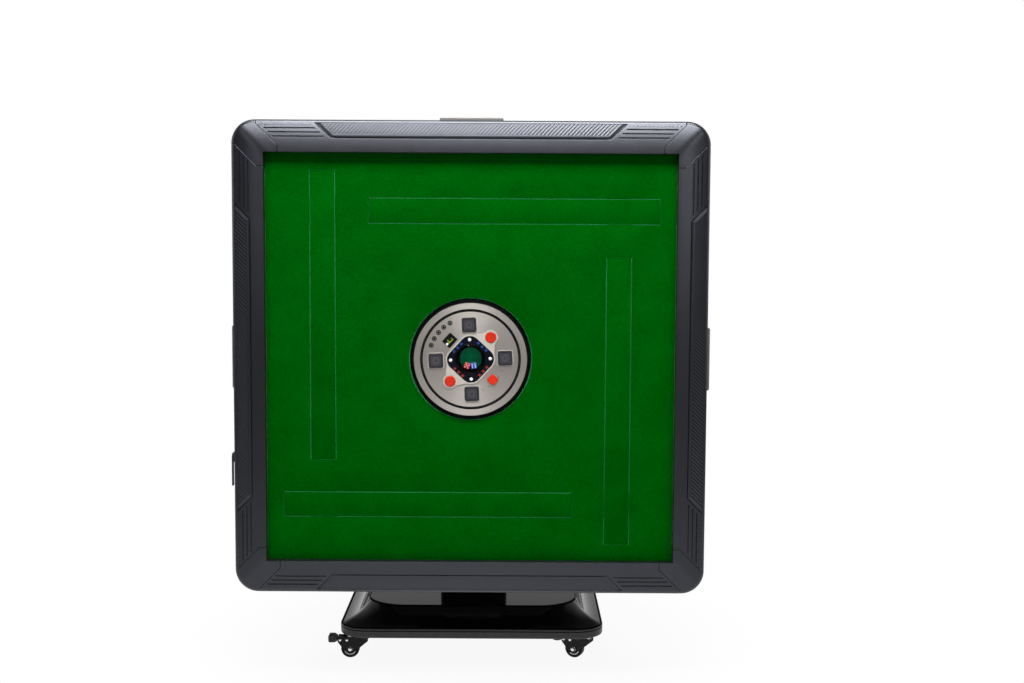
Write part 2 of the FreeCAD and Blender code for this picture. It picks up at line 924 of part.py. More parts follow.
# Power inlet on the bottom cover: a recessed three-pin appliance inlet.
def power_inlet():
    inlet_x = (s.leaf_width / 2 + pan_bottom_width / 2) / 2
    inlet_z = s.inlet_end_margin - pan_bottom_width / 2
    outer_x = (inlet_x - s.inlet_width / 2, inlet_x + s.inlet_width / 2)
    outer_z = (inlet_z - s.inlet_height / 2, inlet_z + s.inlet_height / 2)
    back = s.pan_depth + s.inlet_thickness
    floor = s.pan_depth + s.inlet_floor
    shell = block("inlet_shell", outer_x, (s.pan_depth, back), outer_z)
    recess = block(
        "inlet_recess",
        (outer_x[0] + s.inlet_wall, outer_x[1] - s.inlet_wall),
        (floor, back + s.overrun),
        (outer_z[0] + s.inlet_wall, outer_z[1] - s.inlet_wall),
    )
    prongs = []
    for step in (-1, 0, 1):
        middle = inlet_x + step * s.prong_spacing
        row = inlet_z + s.prong_thickness * (1 - abs(step))
        prongs.append(
            block(
                "inlet_prong",
                (middle - s.prong_thickness / 2, middle + s.prong_thickness / 2),
                (floor, floor + s.prong_length),
                (row - s.prong_width / 2, row + s.prong_width / 2),
            )
        )
    return fuse("power_inlet", cut("inlet_cup", shell, recess), *prongs)


keep("power_inlet", on_panel(power_inlet()))


# Drawers, each a moulded tray and front in one, and the sleeves that they slide in.
def drawer(name):
    face_end = frame_half + s.drawer_reach
    face_start = face_end - s.drawer_front_thickness
    body = slab(
        name,
        s.frame_depth + s.drawer_clearance,
        tray_back,
        lambda sketch: rectangle(sketch, span(s.drawer_width), (face_start, face_end)),
    )
    face = body.Tip
    round_edges(body, face, s.drawer_radius, lies_at("z", face_end))
    tray = front_sketch(body, tray_back)
    rectangle(tray, (-tray_half, tray_half), (tray_end, face_start))
    pad(body, tray, s.tray_height)
    inside = front_sketch(body, tray_front)
    inside_half = tray_half - s.drawer_wall
    rectangle(inside, (-inside_half, inside_half), (tray_end + s.drawer_wall, face_start))
    pocket(body, inside, s.tray_height - s.drawer_wall)
    grip = front_sketch(body, tray_back - s.grip_height)
    rectangle(grip, span(s.grip_width), (face_end - s.grip_depth, face_end + s.overrun))
    pocket(body, grip, s.grip_height)
    return body


def sleeve(name):
    body = slab(
        name,
        sleeve_front,
        sleeve_back,
        lambda sketch: rectangle(
            sketch, (-sleeve_half, sleeve_half), (tray_end - s.drawer_clearance - s.sleeve_wall, sleeve_end)
        ),
    )
    tunnel = front_sketch(body, sleeve_front + s.sleeve_wall)
    inside = sleeve_half - s.sleeve_wall
    rectangle(tunnel, (-inside, inside), (tray_end - s.drawer_clearance, sleeve_end + s.overrun))
    pocket(body, tunnel, sleeve_back - sleeve_front - 2 * s.sleeve_wall)
    return body


sleeves = []
for side, turn in SIDES.items():
    keep(f"drawer_{side}", on_panel(drawer(f"drawer_{side}"), turn))
    sleeves.append(place(sleeve(f"sleeve_{side}"), turn=turn))
keep("drawer_sleeves", on_panel(group("drawer_sleeves", *sleeves)))


# Mixing drum, turntable, its roller and motor, and the tube that guides the console.
def mixing_drum():
    inner = drum_radius - s.drum_wall
    wall = turned(
        "drum_wall",
        [
            (inner, board_back),
            (drum_radius, board_back),
            (drum_radius, pan_back),
            (inner, pan_back),
        ],
    )
    window = block(
        "drum_window",
        span(s.drum_window),
        (rim_front - s.overrun, pan_back + s.overrun),
        (roller_distance - s.motor_radius - s.overrun, drum_radius + s.overrun),
    )
    return cut("mixing_drum", wall, place_at_corner(window))


def place_at_corner(obj):
    """Swing a piece drawn above the centre round to the panel's upper right corner."""
    swung = group(f"{obj.Name}_swung", obj)
    return place(swung, turn=DRIVE_TURN)


keep("mixing_drum", on_panel(mixing_drum()))

bore = s.guide_radius + s.running_fit
hub_back = rim_front - s.turntable_rise + s.hub_height
turntable = turned(
    "turntable",
    [
        (bore, rim_front - s.turntable_rise),
        (s.hub_radius, rim_front - s.turntable_rise),
        (turntable_radius, rim_front),
        (turntable_radius, rim_back),
        (turntable_radius - s.turntable_wall, rim_back),
        (turntable_radius - s.turntable_wall, rim_front + s.turntable_wall),
        (s.hub_radius, rim_front - s.turntable_rise + s.turntable_wall),
        (s.hub_radius, hub_back),
        (bore, hub_back),
    ],
)
keep("turntable", on_panel(turntable))

shoulder_front = hub_back + s.part_gap
guide_inner = s.guide_radius - s.guide_wall
guide = turned(
    "console_guide",
    [
        (guide_inner, s.guide_top),
        (s.guide_radius, s.guide_top),
        (s.guide_radius, shoulder_front),
        (s.guide_shoulder, shoulder_front),
        (s.guide_shoulder, shoulder_front + s.guide_foot),
        (s.guide_radius, shoulder_front + s.guide_foot),
        (s.guide_radius, pan_back - s.guide_foot),
        (s.guide_foot_radius, pan_back - s.guide_foot),
        (s.guide_foot_radius, pan_back),
        (guide_inner, pan_back),
    ],
)
keep("console_guide", on_panel(guide))

shaft_end = motor_front + s.shaft_seat
roller_back = rim_front + s.roller_height
roller = fuse(
    "drive_roller",
    rod("roller_tyre", s.roller_radius, "y", (rim_front, roller_back), z=roller_distance),
    rod("roller_shaft", s.roller_shaft_radius, "y", (roller_back, shaft_end), z=roller_distance),
)
keep("drive_roller", on_panel(roller, DRIVE_TURN))
motor = cut(
    "turntable_motor",
    fuse(
        "motor_can",
        rod("motor_body", s.motor_radius, "y", (motor_front, pan_back), z=roller_distance),
        rod(
            "motor_nose",
            s.motor_collar_radius,
            "y",
            (motor_front - s.motor_collar, motor_front),
            z=roller_distance,
        ),
    ),
    rod(
        "motor_bore",
        s.roller_shaft_radius + s.running_fit,
        "y",
        (motor_front - s.motor_collar - s.overrun, shaft_end + s.part_gap),
        z=roller_distance,
    ),
)
keep("turntable_motor", on_panel(motor, DRIVE_TURN))


# Console: a housing on a stem, with its plates, bowl, dome and buttons.
button_front = plate_front - s.button_rise
button_back = button_front + s.button_height


def button_wells(name, front, back):
    """Cutters for every key, wider than the keys by their clearance."""
    wide = s.seat_button_width + 2 * s.button_clearance
    mode = s.mode_button_width + 2 * s.button_clearance
    round_radius = s.dice_button_radius + s.button_clearance
    seat_corner = s.seat_button_radius + s.button_clearance
    mode_corner = s.mode_button_radius + s.button_clearance
    cutters = []
    for side, turn in SIDES.items():
        well = key(f"{name}_{side}", wide, wide, seat_corner, front, back, s.seat_button_ring)
        cutters.append(place(well, turn=turn))
    for turn in DICE_BUTTON_TURNS.values():
        well = group(f"{name}_round", rod("well", round_radius, "y", (front, back), z=s.dice_button_ring))
        cutters.append(place(well, turn=turn))
    well = key(f"{name}_mode", mode, mode, mode_corner, front, back, s.mode_button_ring)
    cutters.append(place(well, turn=MODE_BUTTON_TURN))
    return cutters


def console_housing():
    stem = guide_inner - s.running_fit
    flange_front = s.cloth_drop - s.console_flange_drop
    back = deck + s.console_depth
    body = turned(
        "console_body",
        [
            (0, deck),
            (s.console_radius, deck),
            (s.console_radius, flange_front),
            (s.console_flange_radius, flange_front),
            (s.console_flange_radius, flange_front + s.console_flange),
            (s.console_radius, flange_front + s.console_flange),
            (s.console_radius, back),
            (stem, back),
            (stem, back + s.console_stem_length),
            (0, back + s.console_stem_length),
        ],
    )
    bowl_back = bowl_front + s.bowl_depth + s.bowl_floor
    cup = rod("bowl_seat", s.bowl_radius + s.part_gap, "y", (deck - s.overrun, bowl_back))
    shaft = rod(
        "platform_bearing",
        s.platform_shaft_radius + s.running_fit,
        "y",
        (deck, platform_front + s.platform_thickness + s.platform_shaft_length + s.part_gap),
    )
    return cut("console_housing", body, cup, shaft, *button_wells("well", deck - s.overrun, well_back))


def display_key(name, front, clearance):
    width = s.display_width + 2 * clearance
    height = s.display_height + 2 * clearance
    return key(name, width, height, s.display_radius, front, deck, s.display_ring)


def console_plate():
    """The brushed plate with every opening, and the ring round it."""
    disc = slab("plate_disc", plate_front, deck, lambda sketch: circle(sketch, s.plate_radius))
    wide = s.bezel_width + 2 * s.part_gap
    diamond = key("plate_diamond", wide, wide, s.bezel_radius, plate_front, deck, 0)
    window = display_key("plate_window", plate_front, s.part_gap)
    cutters = button_wells("plate_hole", plate_front, deck)
    cutters += [place(diamond, turn=DIAMOND_TURN), place(window, turn=DISPLAY_TURN)]
    plate = cut("plate", disc, *cutters)

    def annulus(sketch):
        circle(sketch, s.console_radius)
        circle(sketch, s.console_radius - s.ring_width)

    return group("console_plate", plate, slab("plate_ring", plate_front, deck, annulus))


def trim_web(sketch):
    """The metal between a flat side of the frame and a lobe."""
    root = s.bezel_width / 2
    foot = root - s.bezel_radius / 2
    tip = s.dice_button_radius + s.button_clearance + s.trim_width / 2
    polygon(sketch, [(-foot, root), (foot, root), (tip, s.dice_button_ring), (-tip, s.dice_button_ring)])


def console_trim():
    """A raised frame round the bezel that widens into lobes round the two dice buttons."""
    front = plate_front - s.trim_rise
    depths = (front, plate_front)
    wide = s.bezel_width + 2 * s.trim_width
    outer = key("trim_frame", wide, wide, s.bezel_radius + s.trim_width, front, plate_front, 0)
    hole = s.bezel_width + 2 * s.part_gap
    inner = key("trim_opening", hole, hole, s.bezel_radius, front, plate_front, 0)
    round_radius = s.dice_button_radius + s.button_clearance
    lobes = []
    holes = []
    for turn in DICE_BUTTON_TURNS.values():
        lobe = rod("lobe", round_radius + s.trim_width, "y", depths, z=s.dice_button_ring)
        hole = rod("lobe_hole", round_radius, "y", depths, z=s.dice_button_ring)
        lobes.append(place(group("trim_lobe", lobe), turn=turn))
        holes.append(place(group("trim_hole", hole), turn=turn))
    webs = []
    for turn in DICE_BUTTON_TURNS.values():
        webs.append(place(slab("trim_web", front, plate_front, trim_web), turn=turn))
    outline = fuse("trim_outline", place(outer, turn=DIAMOND_TURN), *lobes, *webs)
    return cut("console_trim", outline, place(inner, turn=DIAMOND_TURN), *holes)


def dice_bezel():
    plate = key("bezel_plate", s.bezel_width, s.bezel_width, s.bezel_radius, bezel_front, deck, 0)
    mouth = rod("bezel_mouth", s.bowl_radius + s.part_gap, "y", (bezel_front, deck))
    return cut("dice_bezel", place(plate, turn=DIAMOND_TURN), mouth)


def dice_dome():
    """A shallow clear cap, cut from a ball by the plane of the bowl's lip."""
    ball = (s.dome_radius * s.dome_radius + s.dome_rise * s.dome_rise) / (2 * s.dome_rise)
    shells = []
    for name, radius in (("dome_outside", ball), ("dome_inside", ball - s.dome_wall)):
        shell = doc.addObject("Part::Sphere", name)
        bind(shell, "Radius", radius)
        bind(shell, "Placement.Base.y", bowl_front - s.dome_rise + ball)
        shells.append(shell)
    limit = rod("dome_limit", s.dome_radius, "y", (bowl_front - s.dome_rise - s.overrun, bowl_front))
    return common("dice_dome", cut("dome_shell", *shells), limit)


bowl_floor_front = bowl_front + s.bowl_depth
bowl = turned(
    "dice_bowl",
    [
        (s.bowl_mouth, bowl_front),
        (s.bowl_radius, bowl_front),
        (s.bowl_radius, bowl_floor_front + s.bowl_floor),
        (s.platform_shaft_radius + s.part_gap, bowl_floor_front + s.bowl_floor),
        (s.platform_shaft_radius + s.part_gap, bowl_floor_front),
        (s.bowl_floor_radius, bowl_floor_front),
    ],
)
platform_back = platform_front + s.platform_thickness
platform = fuse(
    "dice_platform",
    rod("platform_disc", s.platform_radius, "y", (platform_front, platform_back)),
    rod(
        "platform_shaft",
        s.platform_shaft_radius,
        "y",
        (platform_back, platform_back + s.platform_shaft_length),
    ),
)


def die(name, x, turn):
    """A small cube that has slid to the low side of the bowl and rests on the platform."""
    back = platform_front - s.part_gap
    body = slab(
        name,
        back - s.die_width,
        back,
        lambda sketch: rectangle(sketch, span(s.die_width), span(s.die_width)),
    )
    round_edges(body, body.Tip, s.die_radius, lambda edge: True)
    return place(body, x, 0, -s.die_drop, turn=float(turn))


keep("console_housing", on_console(console_housing()))
keep("console_plate", on_console(console_plate()))
keep("console_trim", on_console(console_trim()))
keep("display_window", on_console(display_key("display_window", plate_front, 0), DISPLAY_TURN))
keep("dice_bezel", on_console(dice_bezel()))
keep("dice_bowl", on_console(bowl))
keep("dice_platform", on_console(platform))
keep("dice_dome", on_console(dice_dome()))
dice = group(
    "dice_pair",
    die("red_die", s.red_die_x, s.red_die_turn),
    die("blue_die", s.blue_die_x, s.blue_die_turn),
)
keep("dice_pair", on_panel(dice))


def soft_key(name, width, radius, ring):
    body = key(name, width, width, radius, button_front, button_back, ring)
    round_edges(body, body.Tip, s.button_edge, lies_at("y", button_front))
    return body


for side, turn in SIDES.items():
    button = soft_key(f"seat_button_{side}", s.seat_button_width, s.seat_button_radius, s.seat_button_ring)
    keep(f"seat_button_{side}", on_console(button, turn))
for side, turn in DICE_BUTTON_TURNS.items():
    button = slab(
        f"dice_button_{side}",
        button_front,
        button_back,
        lambda sketch: circle(sketch, s.dice_button_radius, 0, s.dice_button_ring),
    )
    round_edges(button, button.Tip, s.button_edge, lies_at("y", button_front))
    keep(f"dice_button_{side}", on_console(button, turn))
mode = soft_key("mode_button", s.mode_button_width, s.mode_button_radius, s.mode_button_ring)
keep("mode_button", on_console(mode, MODE_BUTTON_TURN))


# Fold-lock lever: a hub on a pin, with a thin bar hanging from its outer side.
lever_tail = boss_back + s.part_gap
bar_outer = lever_x - s.lever_hub_radius - s.lever_bar_offset
lever = fuse(
    "fold_lever",
    rod(
        "lever_pin",
        s.lever_pin_radius,
        "y",
        (boss_back - s.lever_pin_length, lever_tail),
        x=lever_x,
        z=lever_z,
    ),
    rod(
        "lever_hub",
        s.lever_hub_radius,
        "y",
        (lever_tail, lever_tail + s.lever_hub_length),
        x=lever_x,
        z=lever_z,
    ),
    block(
        "lever_bar",
        (bar_outer, bar_outer + s.lever_bar),
        (lever_tail, lever_tail + s.lever_hub_length),
        (lever_z - s.lever_length, lever_z),
    ),
)
keep("fold_lever", on_panel(lever))


# Hinge: a leaf on the bottom cover with two ears, the head's own ears outside them, and the pin.
pivot_drop = -s.pivot_rise


def ear(name, x, y, z, radius_y, radius_z):
    """One ear: a plate that ends in a round boss at the pivot."""
    boss = rod(f"{name}_boss", s.ear_radius, "x", x, y=radius_y, z=radius_z)
    return fuse(name, boss, block(f"{name}_plate", x, y, z))


def ear_sides(start):
    return ((start, start + s.ear_thickness), (-start - s.ear_thickness, -start))


def hinge_leaf():
    plate = block(
        "leaf_plate",
        span(s.leaf_width),
        (leaf_front, leaf_back),
        (pivot_drop - s.leaf_below, pivot_drop + s.leaf_above),
    )
    rows = (pivot_drop - s.ear_radius, pivot_drop + s.ear_radius)
    ears = []
    for x in ear_sides(s.ear_offset):
        ears.append(ear("leaf_ear", x, (leaf_back, s.pivot_depth), rows, s.pivot_depth, pivot_drop))
    reach = s.ear_offset + s.ear_thickness + s.overrun
    bore = rod(
        "leaf_bore",
        s.pin_radius + s.running_fit,
        "x",
        (-reach, reach),
        y=s.pivot_depth,
        z=pivot_drop,
    )
    return cut("hinge_leaf", fuse("leaf_with_ears", plate, *ears), bore)


keep("hinge_leaf", on_panel(hinge_leaf()))

head_ear = s.ear_offset + s.ear_thickness + s.ear_gap
head_reach = head_ear + s.ear_thickness
pivot_back = -s.pivot_rise


def support_head():
    """A plate on the column, with ears that hold the pin and the bar that stops the fold."""
    plate = block(
        "head_plate",
        span(s.leaf_width),
        span(s.head_depth),
        (head_top - s.head_thickness, head_top),
    )
    stop_front = pivot_back - leaf_drop + s.part_gap
    stop_rows = (
        s.pivot_height - s.stop_below - s.stop_height,
        s.pivot_height - s.stop_below,
    )
    stop = block(
        "head_stop",
        (-head_reach, head_reach),
        (stop_front, stop_front + s.stop_depth),
        stop_rows,
    )
    ears = []
    for x in ear_sides(head_ear):
        arm = (pivot_back - s.ear_radius, pivot_back + s.ear_tail)
        rows = (stop_rows[0], s.pivot_height)
        ears.append(ear("head_ear", x, arm, rows, pivot_back, s.pivot_height))
        tail = (pivot_back, pivot_back + s.ear_tail)
        ears.append(block("head_ear_tail", x, tail, (s.pivot_height, head_top - s.head_thickness)))
    bore = rod(
        "head_bore",
        s.pin_radius + s.running_fit,
        "x",
        (-head_reach - s.overrun, head_reach + s.overrun),
        y=pivot_back,
        z=s.pivot_height,
    )
    return cut("support_head", fuse("head_frame", plate, stop, *ears), bore)


keep("support_head", on_base(support_head()))

pin_end = head_reach + s.part_gap
hinge_pin = fuse(
    "hinge_pin",
    rod("pin_shank", s.pin_radius, "x", (-pin_end, pin_end), y=pivot_back, z=s.pivot_height),
    rod(
        "pin_head_left",
        s.pin_head_radius,
        "x",
        (-pin_end - s.pin_head, -pin_end),
        y=pivot_back,
        z=s.pivot_height,
    ),
    rod(
        "pin_head_right",
        s.pin_head_radius,
        "x",
        (pin_end, pin_end + s.pin_head),
        y=pivot_back,
        z=s.pivot_height,
    ),
)
keep("hinge_pin", on_base(hinge_pin))

pad_top = s.pivot_height + leaf_drop - s.part_gap
pads = []
for x in (s.pad_inset - s.leaf_width / 2, s.leaf_width / 2 - s.pad_inset):
    for y in (s.pad_inset - s.head_depth / 2, s.head_depth / 2 - s.pad_inset):
        pads.append(rod("rest_pad", s.pad_radius, "z", (head_top, pad_top), x=x, y=y))
keep("rest_pads", on_base(group("rest_pads", *pads)))


# Column: a rounded tube on a foot plate.
def floor_sketch(body, height):
    return new_sketch(body, "XY_Plane", height)


def column():
    body = new_body("column")
    foot = floor_sketch(body, base_top)
    margin = 2 * s.foot_margin
    rounded_rectangle(foot, s.column_width + margin, s.column_depth + margin, s.column_radius)
    pad(body, foot, s.foot_thickness)
    tube = floor_sketch(body, base_top)
    rounded_rectangle(tube, s.column_width, s.column_depth, s.column_radius)
    pad(body, tube, head_top - s.head_thickness - base_top)
    inside = floor_sketch(body, head_top - s.head_thickness)
    wall = 2 * s.column_wall
    rounded_rectangle(
        inside, s.column_width - wall, s.column_depth - wall, s.column_radius - s.column_wall
    )
    pocket(body, inside, head_top - s.head_thickness - base_top)
    return body


keep("column", on_base(column()))


# Base: a steel plate, the skirt round it and the moulded cover with its flat plateau.
def base_plate():
    body = new_body("base_plate")
    outline = floor_sketch(body, s.caster_height)
    inset = s.skirt_wall + s.part_gap
    width = s.base_width - 2 * inset
    depth = s.base_depth - 2 * inset
    rounded_rectangle(outline, width, depth, s.base_corner_radius - inset)
    pad(body, outline, s.base_plate_thickness)
    return body


def base_skirt():
    body = new_body("base_skirt")
    outline = floor_sketch(body, s.caster_height)
    rounded_rectangle(outline, s.base_width, s.base_depth, s.base_corner_radius)
    band = pad(body, outline, s.skirt_height)
    round_edges(body, band, s.skirt_edge, lies_at("z", s.caster_height))
    inside = floor_sketch(body, skirt_top)
    wall = 2 * s.skirt_wall
    rounded_rectangle(
        inside, s.base_width - wall, s.base_depth - wall, s.base_corner_radius - s.skirt_wall
    )
    pocket(body, inside, s.skirt_height)
    return body


def cover_sections(body, wall):
    """Rounded outlines from the rim up to the plateau, drawn in by the wall for the inside."""
    rise = s.base_height - skirt_top - wall
    edge = s.cover_ledge + wall
    growth = s.plateau_radius - s.base_corner_radius
    sections = []
    for height_share, inset_share in zip(COVER_HEIGHT_SHARES, COVER_INSET_SHARES):
        sketch = floor_sketch(body, skirt_top + rise * height_share)
        width = s.base_width - 2 * (edge + s.plateau_inset_x * inset_share)
        depth = s.base_depth - 2 * (edge + s.plateau_inset_y * inset_share)
        rounded_rectangle(sketch, width, depth, s.base_corner_radius - edge + growth * inset_share)
        sections.append(sketch)
    return sections


def base_cover():
    body = new_body("base_cover")
    loft(body, "Additive", cover_sections(body, 0))
    loft(body, "Subtractive", cover_sections(body, s.cover_wall))
    inset = s.cover_ledge + s.plateau_margin
    panel = floor_sketch(body, s.base_height)
    rounded_rectangle(
        panel,
        s.base_width - 2 * (s.plateau_inset_x + inset),
        s.base_depth - 2 * (s.plateau_inset_y + inset),
        s.plateau_radius - inset,
    )
    raised = pad(body, panel, s.plateau_step)
    panel_top = s.base_height + s.plateau_step
    round_edges(body, raised, s.plateau_edge, lies_at("z", panel_top))
    hole = floor_sketch(body, panel_top)
    gap = 2 * s.part_gap
    rounded_rectangle(
        hole, s.column_width + gap, s.column_depth + gap, s.column_radius + s.part_gap
    )
    pocket(body, hole, panel_top - skirt_top)
    return body


keep("base_plate", on_base(base_plate()))
keep("base_skirt", on_base(base_skirt()))
keep("base_cover", on_base(base_cover()))


# Castors: a plate with a race and king pin, a trailing fork, a wheel and, in front, a brake pedal.
def at_caster(obj, corner):
    sign_x, sign_y, swivel = CORNERS[corner]
    x = sign_x * (s.base_width / 2 - s.caster_inset_x)
    y = base_y + sign_y * (s.base_depth / 2 - s.caster_inset_y)
    return place(obj, x, y, 0, turn=swivel, axis=(0, 0, 1))


def caster_plate(name):
    under = s.caster_height - s.caster_plate_thickness
    half = s.caster_plate_width / 2
    return fuse(
        name,
        block(f"{name}_plate", (-half, half), (-half, half), (under, s.caster_height)),
        rod(f"{name}_race", s.race_radius, "z", (under - s.race_height, under)),
        rod(f"{name}_king", s.king_radius, "z", (under - s.race_height - s.king_length, under)),
    )


def fork_cheek(sketch):
    """The side of a fork: under the crown, down to the axle and out to the brake's rivets."""
    far = -s.rivet_far - s.rivet_margin
    polygon(
        sketch,
        [
            (s.fork_crown_radius, fork_top),
            (far, fork_top),
            (far, s.rivet_height - s.rivet_margin),
            (-s.trail - s.fork_land, s.wheel_radius - s.fork_land),
            (-s.trail + s.fork_land, s.wheel_radius - s.fork_land),
            (s.fork_crown_radius, fork_top - s.fork_cheek),
        ],
    )


def caster_fork(name):
    inside = s.fork_gap / 2
    outside = inside + s.fork_wall
    cheeks = [
        slab(f"{name}_cheek_near", -outside, -inside, fork_cheek),
        slab(f"{name}_cheek_far", inside, outside, fork_cheek),
    ]
    crown_rows = (fork_top - s.fork_crown, fork_top)
    crown = rod(f"{name}_crown", s.fork_crown_radius, "z", crown_rows)
    king_hole = rod(
        f"{name}_king_hole",
        s.king_radius + s.running_fit,
        "z",
        (fork_top - s.fork_crown - s.overrun, fork_top + s.overrun),
    )
    through = (-outside, outside)
    fittings = [
        rod(f"{name}_axle", s.axle_radius, "y", through, x=-s.trail, z=s.wheel_radius),
        rod(f"{name}_rivet", s.rivet_radius, "y", through, x=-s.rivet_far, z=s.rivet_height),
    ]
    for label, radius, height, x, z in (
        ("nut", s.axle_nut_radius, s.axle_nut, -s.trail, s.wheel_radius),
        ("near_head", s.rivet_head_radius, s.rivet_head, -s.rivet_near, s.rivet_height),
        ("far_head", s.rivet_head_radius, s.rivet_head, -s.rivet_far, s.rivet_height),
    ):
        for limits in ((-outside - height, -outside), (outside, outside + height)):
            fittings.append(rod(f"{name}_{label}", radius, "y", limits, x=x, z=z))
    return cut(name, fuse(f"{name}_frame", crown, *cheeks, *fittings), king_hole)


def caster_wheel(name):
    """A wheel dished on both sides between its hub and its rim."""
    bore = s.axle_radius + s.running_fit
    dish_radius = s.wheel_radius - s.wheel_rim
    half = s.wheel_width / 2
    hub_half = s.wheel_hub_width / 2
    dish_half = half - s.wheel_dish
    near = [
        (bore, -hub_half),
        (s.wheel_hub_radius, -hub_half),
        (s.wheel_hub_radius, -dish_half),
        (dish_radius, -dish_half),
        (dish_radius, -half),
        (s.wheel_radius - s.tread_edge, -half),
        (s.wheel_radius, s.tread_edge - half),
    ]
    return turned(name, near + [(radius, -y) for radius, y in reversed(near)])


def brake_pedal(name):
    """A foot pad on a neck that pivots on the fork's outer rivet."""
    top = fork_top - s.pedal_clearance
    bottom = top - s.pedal_thickness
    neck_end = -s.rivet_far - s.rivet_margin - s.pedal_clearance
    inner_end = -s.rivet_far + s.rivet_margin + s.pedal_clearance
    neck = block(f"{name}_neck", (neck_end, inner_end), span(s.pedal_neck), (bottom, top))
    tip_top = top + s.pedal_tip_rise
    tip_bottom = tip_top - s.pedal_tip_height
    tip_end = -s.pedal_reach
    tip_start = tip_end + s.pedal_tip_length

    def side(sketch):
        outer = [(neck_end, top), (tip_start, tip_top), (tip_end, tip_top), (tip_end, tip_bottom)]
        polygon(sketch, outer + [(tip_start, tip_bottom), (neck_end, bottom)])

    foot = slab(f"{name}_foot", -s.pedal_width / 2, s.pedal_width / 2, side)
    round_edges(foot, foot.Tip, s.pedal_tip_radius, lies_at("x", tip_end))
    pivot = rod(
        f"{name}_bore",
        s.rivet_radius + s.running_fit,
        "y",
        span(s.pedal_width),
        x=-s.rivet_far,
        z=s.rivet_height,
    )
    return cut(name, fuse(f"{name}_blank", neck, foot), pivot)


plates = []
for corner in CORNERS:
    plates.append(at_caster(caster_plate(f"caster_plate_{corner}"), corner))
    keep(f"caster_fork_{corner}", at_caster(caster_fork(f"caster_fork_{corner}"), corner))
    wheel = place(caster_wheel(f"wheel_{corner}"), -s.trail, 0, s.wheel_radius)
    wheel_place = group(f"caster_wheel_{corner}", wheel)
    keep(f"caster_wheel_{corner}", at_caster(wheel_place, corner))
for corner in BRAKED:
    keep(f"brake_pedal_{corner}", at_caster(brake_pedal(f"brake_pedal_{corner}"), corner))
keep("caster_plates", group("caster_plates", *plates))


# Nothing is written unless every object came out and every sub-part is a sound solid.
doc.recompute()
for obj in doc.Objects:
    if "Invalid" in obj.State or "Error" in obj.State:
        raise RuntimeError(f"{obj.Name} failed: {obj.State}")
for node, obj in parts.items():
    if obj.Shape.isNull() or not obj.Shape.isValid() or not obj.Shape.Solids:
        raise RuntimeError(f"{node} has no sound solid")

os.makedirs("parts", exist_ok=True)
for node, obj in parts.items():
    obj.Shape.exportStep(f"parts/{node}.step")
    print(f"{node}: {len(obj.Shape.Solids)} solids, {obj.Shape.BoundBox}")
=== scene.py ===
import math

import bmesh
import bpy
from mathutils import Matrix, Vector


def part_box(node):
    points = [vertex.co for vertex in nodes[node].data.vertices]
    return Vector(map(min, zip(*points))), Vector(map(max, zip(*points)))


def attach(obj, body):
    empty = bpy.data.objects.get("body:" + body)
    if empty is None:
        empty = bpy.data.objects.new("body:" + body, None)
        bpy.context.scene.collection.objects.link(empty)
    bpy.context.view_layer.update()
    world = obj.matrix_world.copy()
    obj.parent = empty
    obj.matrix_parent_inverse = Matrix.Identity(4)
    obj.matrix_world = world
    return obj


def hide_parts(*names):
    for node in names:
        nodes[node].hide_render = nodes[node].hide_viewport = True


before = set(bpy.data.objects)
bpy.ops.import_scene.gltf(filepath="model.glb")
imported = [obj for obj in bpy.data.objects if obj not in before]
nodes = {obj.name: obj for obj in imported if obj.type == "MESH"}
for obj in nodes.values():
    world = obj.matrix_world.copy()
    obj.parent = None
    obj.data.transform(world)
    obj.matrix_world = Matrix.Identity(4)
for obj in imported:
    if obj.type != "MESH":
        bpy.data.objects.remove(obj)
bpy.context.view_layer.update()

# Base plate under the cover: sheet steel with a black powder coat, which leaves a fine orange peel.
# It carries the column and, on four screwed plates of zinc-plated steel, the castors.


def finish(name, colour, roughness, metallic=0.0, **sockets):
    """A material with one shader and constant values on its sockets."""
    material = bpy.data.materials.new(name)
    material.use_nodes = True
    shader = material.node_tree.nodes["Principled BSDF"]
    values = {"Base Color": (*colour, 1.0), "Roughness": roughness, "Metallic": metallic}
    values.update({socket.replace("_", " "): value for socket, value in sockets.items()})
    for socket, value in values.items():
        shader.inputs[socket].default_value = value
    return material


def node(material, kind, inputs=None, **settings):
    """Add a shader node; an input takes a constant or another node's output."""
    made = material.node_tree.nodes.new("ShaderNode" + kind)
    for name, value in settings.items():
        setattr(made, name, value)
    for name, value in (inputs or {}).items():
        if isinstance(value, bpy.types.NodeSocket):
            material.node_tree.links.new(value, made.inputs[name])
        else:
            made.inputs[name].default_value = value
    return made


def feed(material, socket, output):
    """Drive one socket of the material's shader."""
    shader = material.node_tree.nodes["Principled BSDF"]
    material.node_tree.links.new(output, shader.inputs[socket])


def spot_on(material, centre=(0.0, 0.0, 0.0), scale=(1.0, 1.0, 1.0)):
    """The point on the piece in metres, measured from a centre and stretched."""
    point = node(material, "TexCoord").outputs["Object"]
    moved = node(material, "VectorMath", {0: point, 1: centre}, operation="SUBTRACT").outputs[0]
    return node(material, "VectorMath", {0: moved, 1: scale}, operation="MULTIPLY").outputs[0]


def speckle(material, size, detail=3.0, stretch=(1.0, 1.0, 1.0)):
    """Noise with grains of about one size in metres."""
    point = spot_on(material, scale=stretch)
    return node(material, "TexNoise", {"Vector": point, "Scale": 1.0 / size, "Detail": detail}).outputs["Fac"]


def tint(material, factor, *stops):
    """Colour the surface by a factor, from pairs of place and colour."""
    ramp = node(material, "ValToRGB", {"Fac": factor})
    elements = ramp.color_ramp.elements
    while len(elements) < len(stops):
        elements.new(0.5)
    for element, (place, colour) in zip(elements, stops):
        element.position = place
        element.color = (*colour, 1.0)
    feed(material, "Base Color", ramp.outputs["Color"])
    return ramp


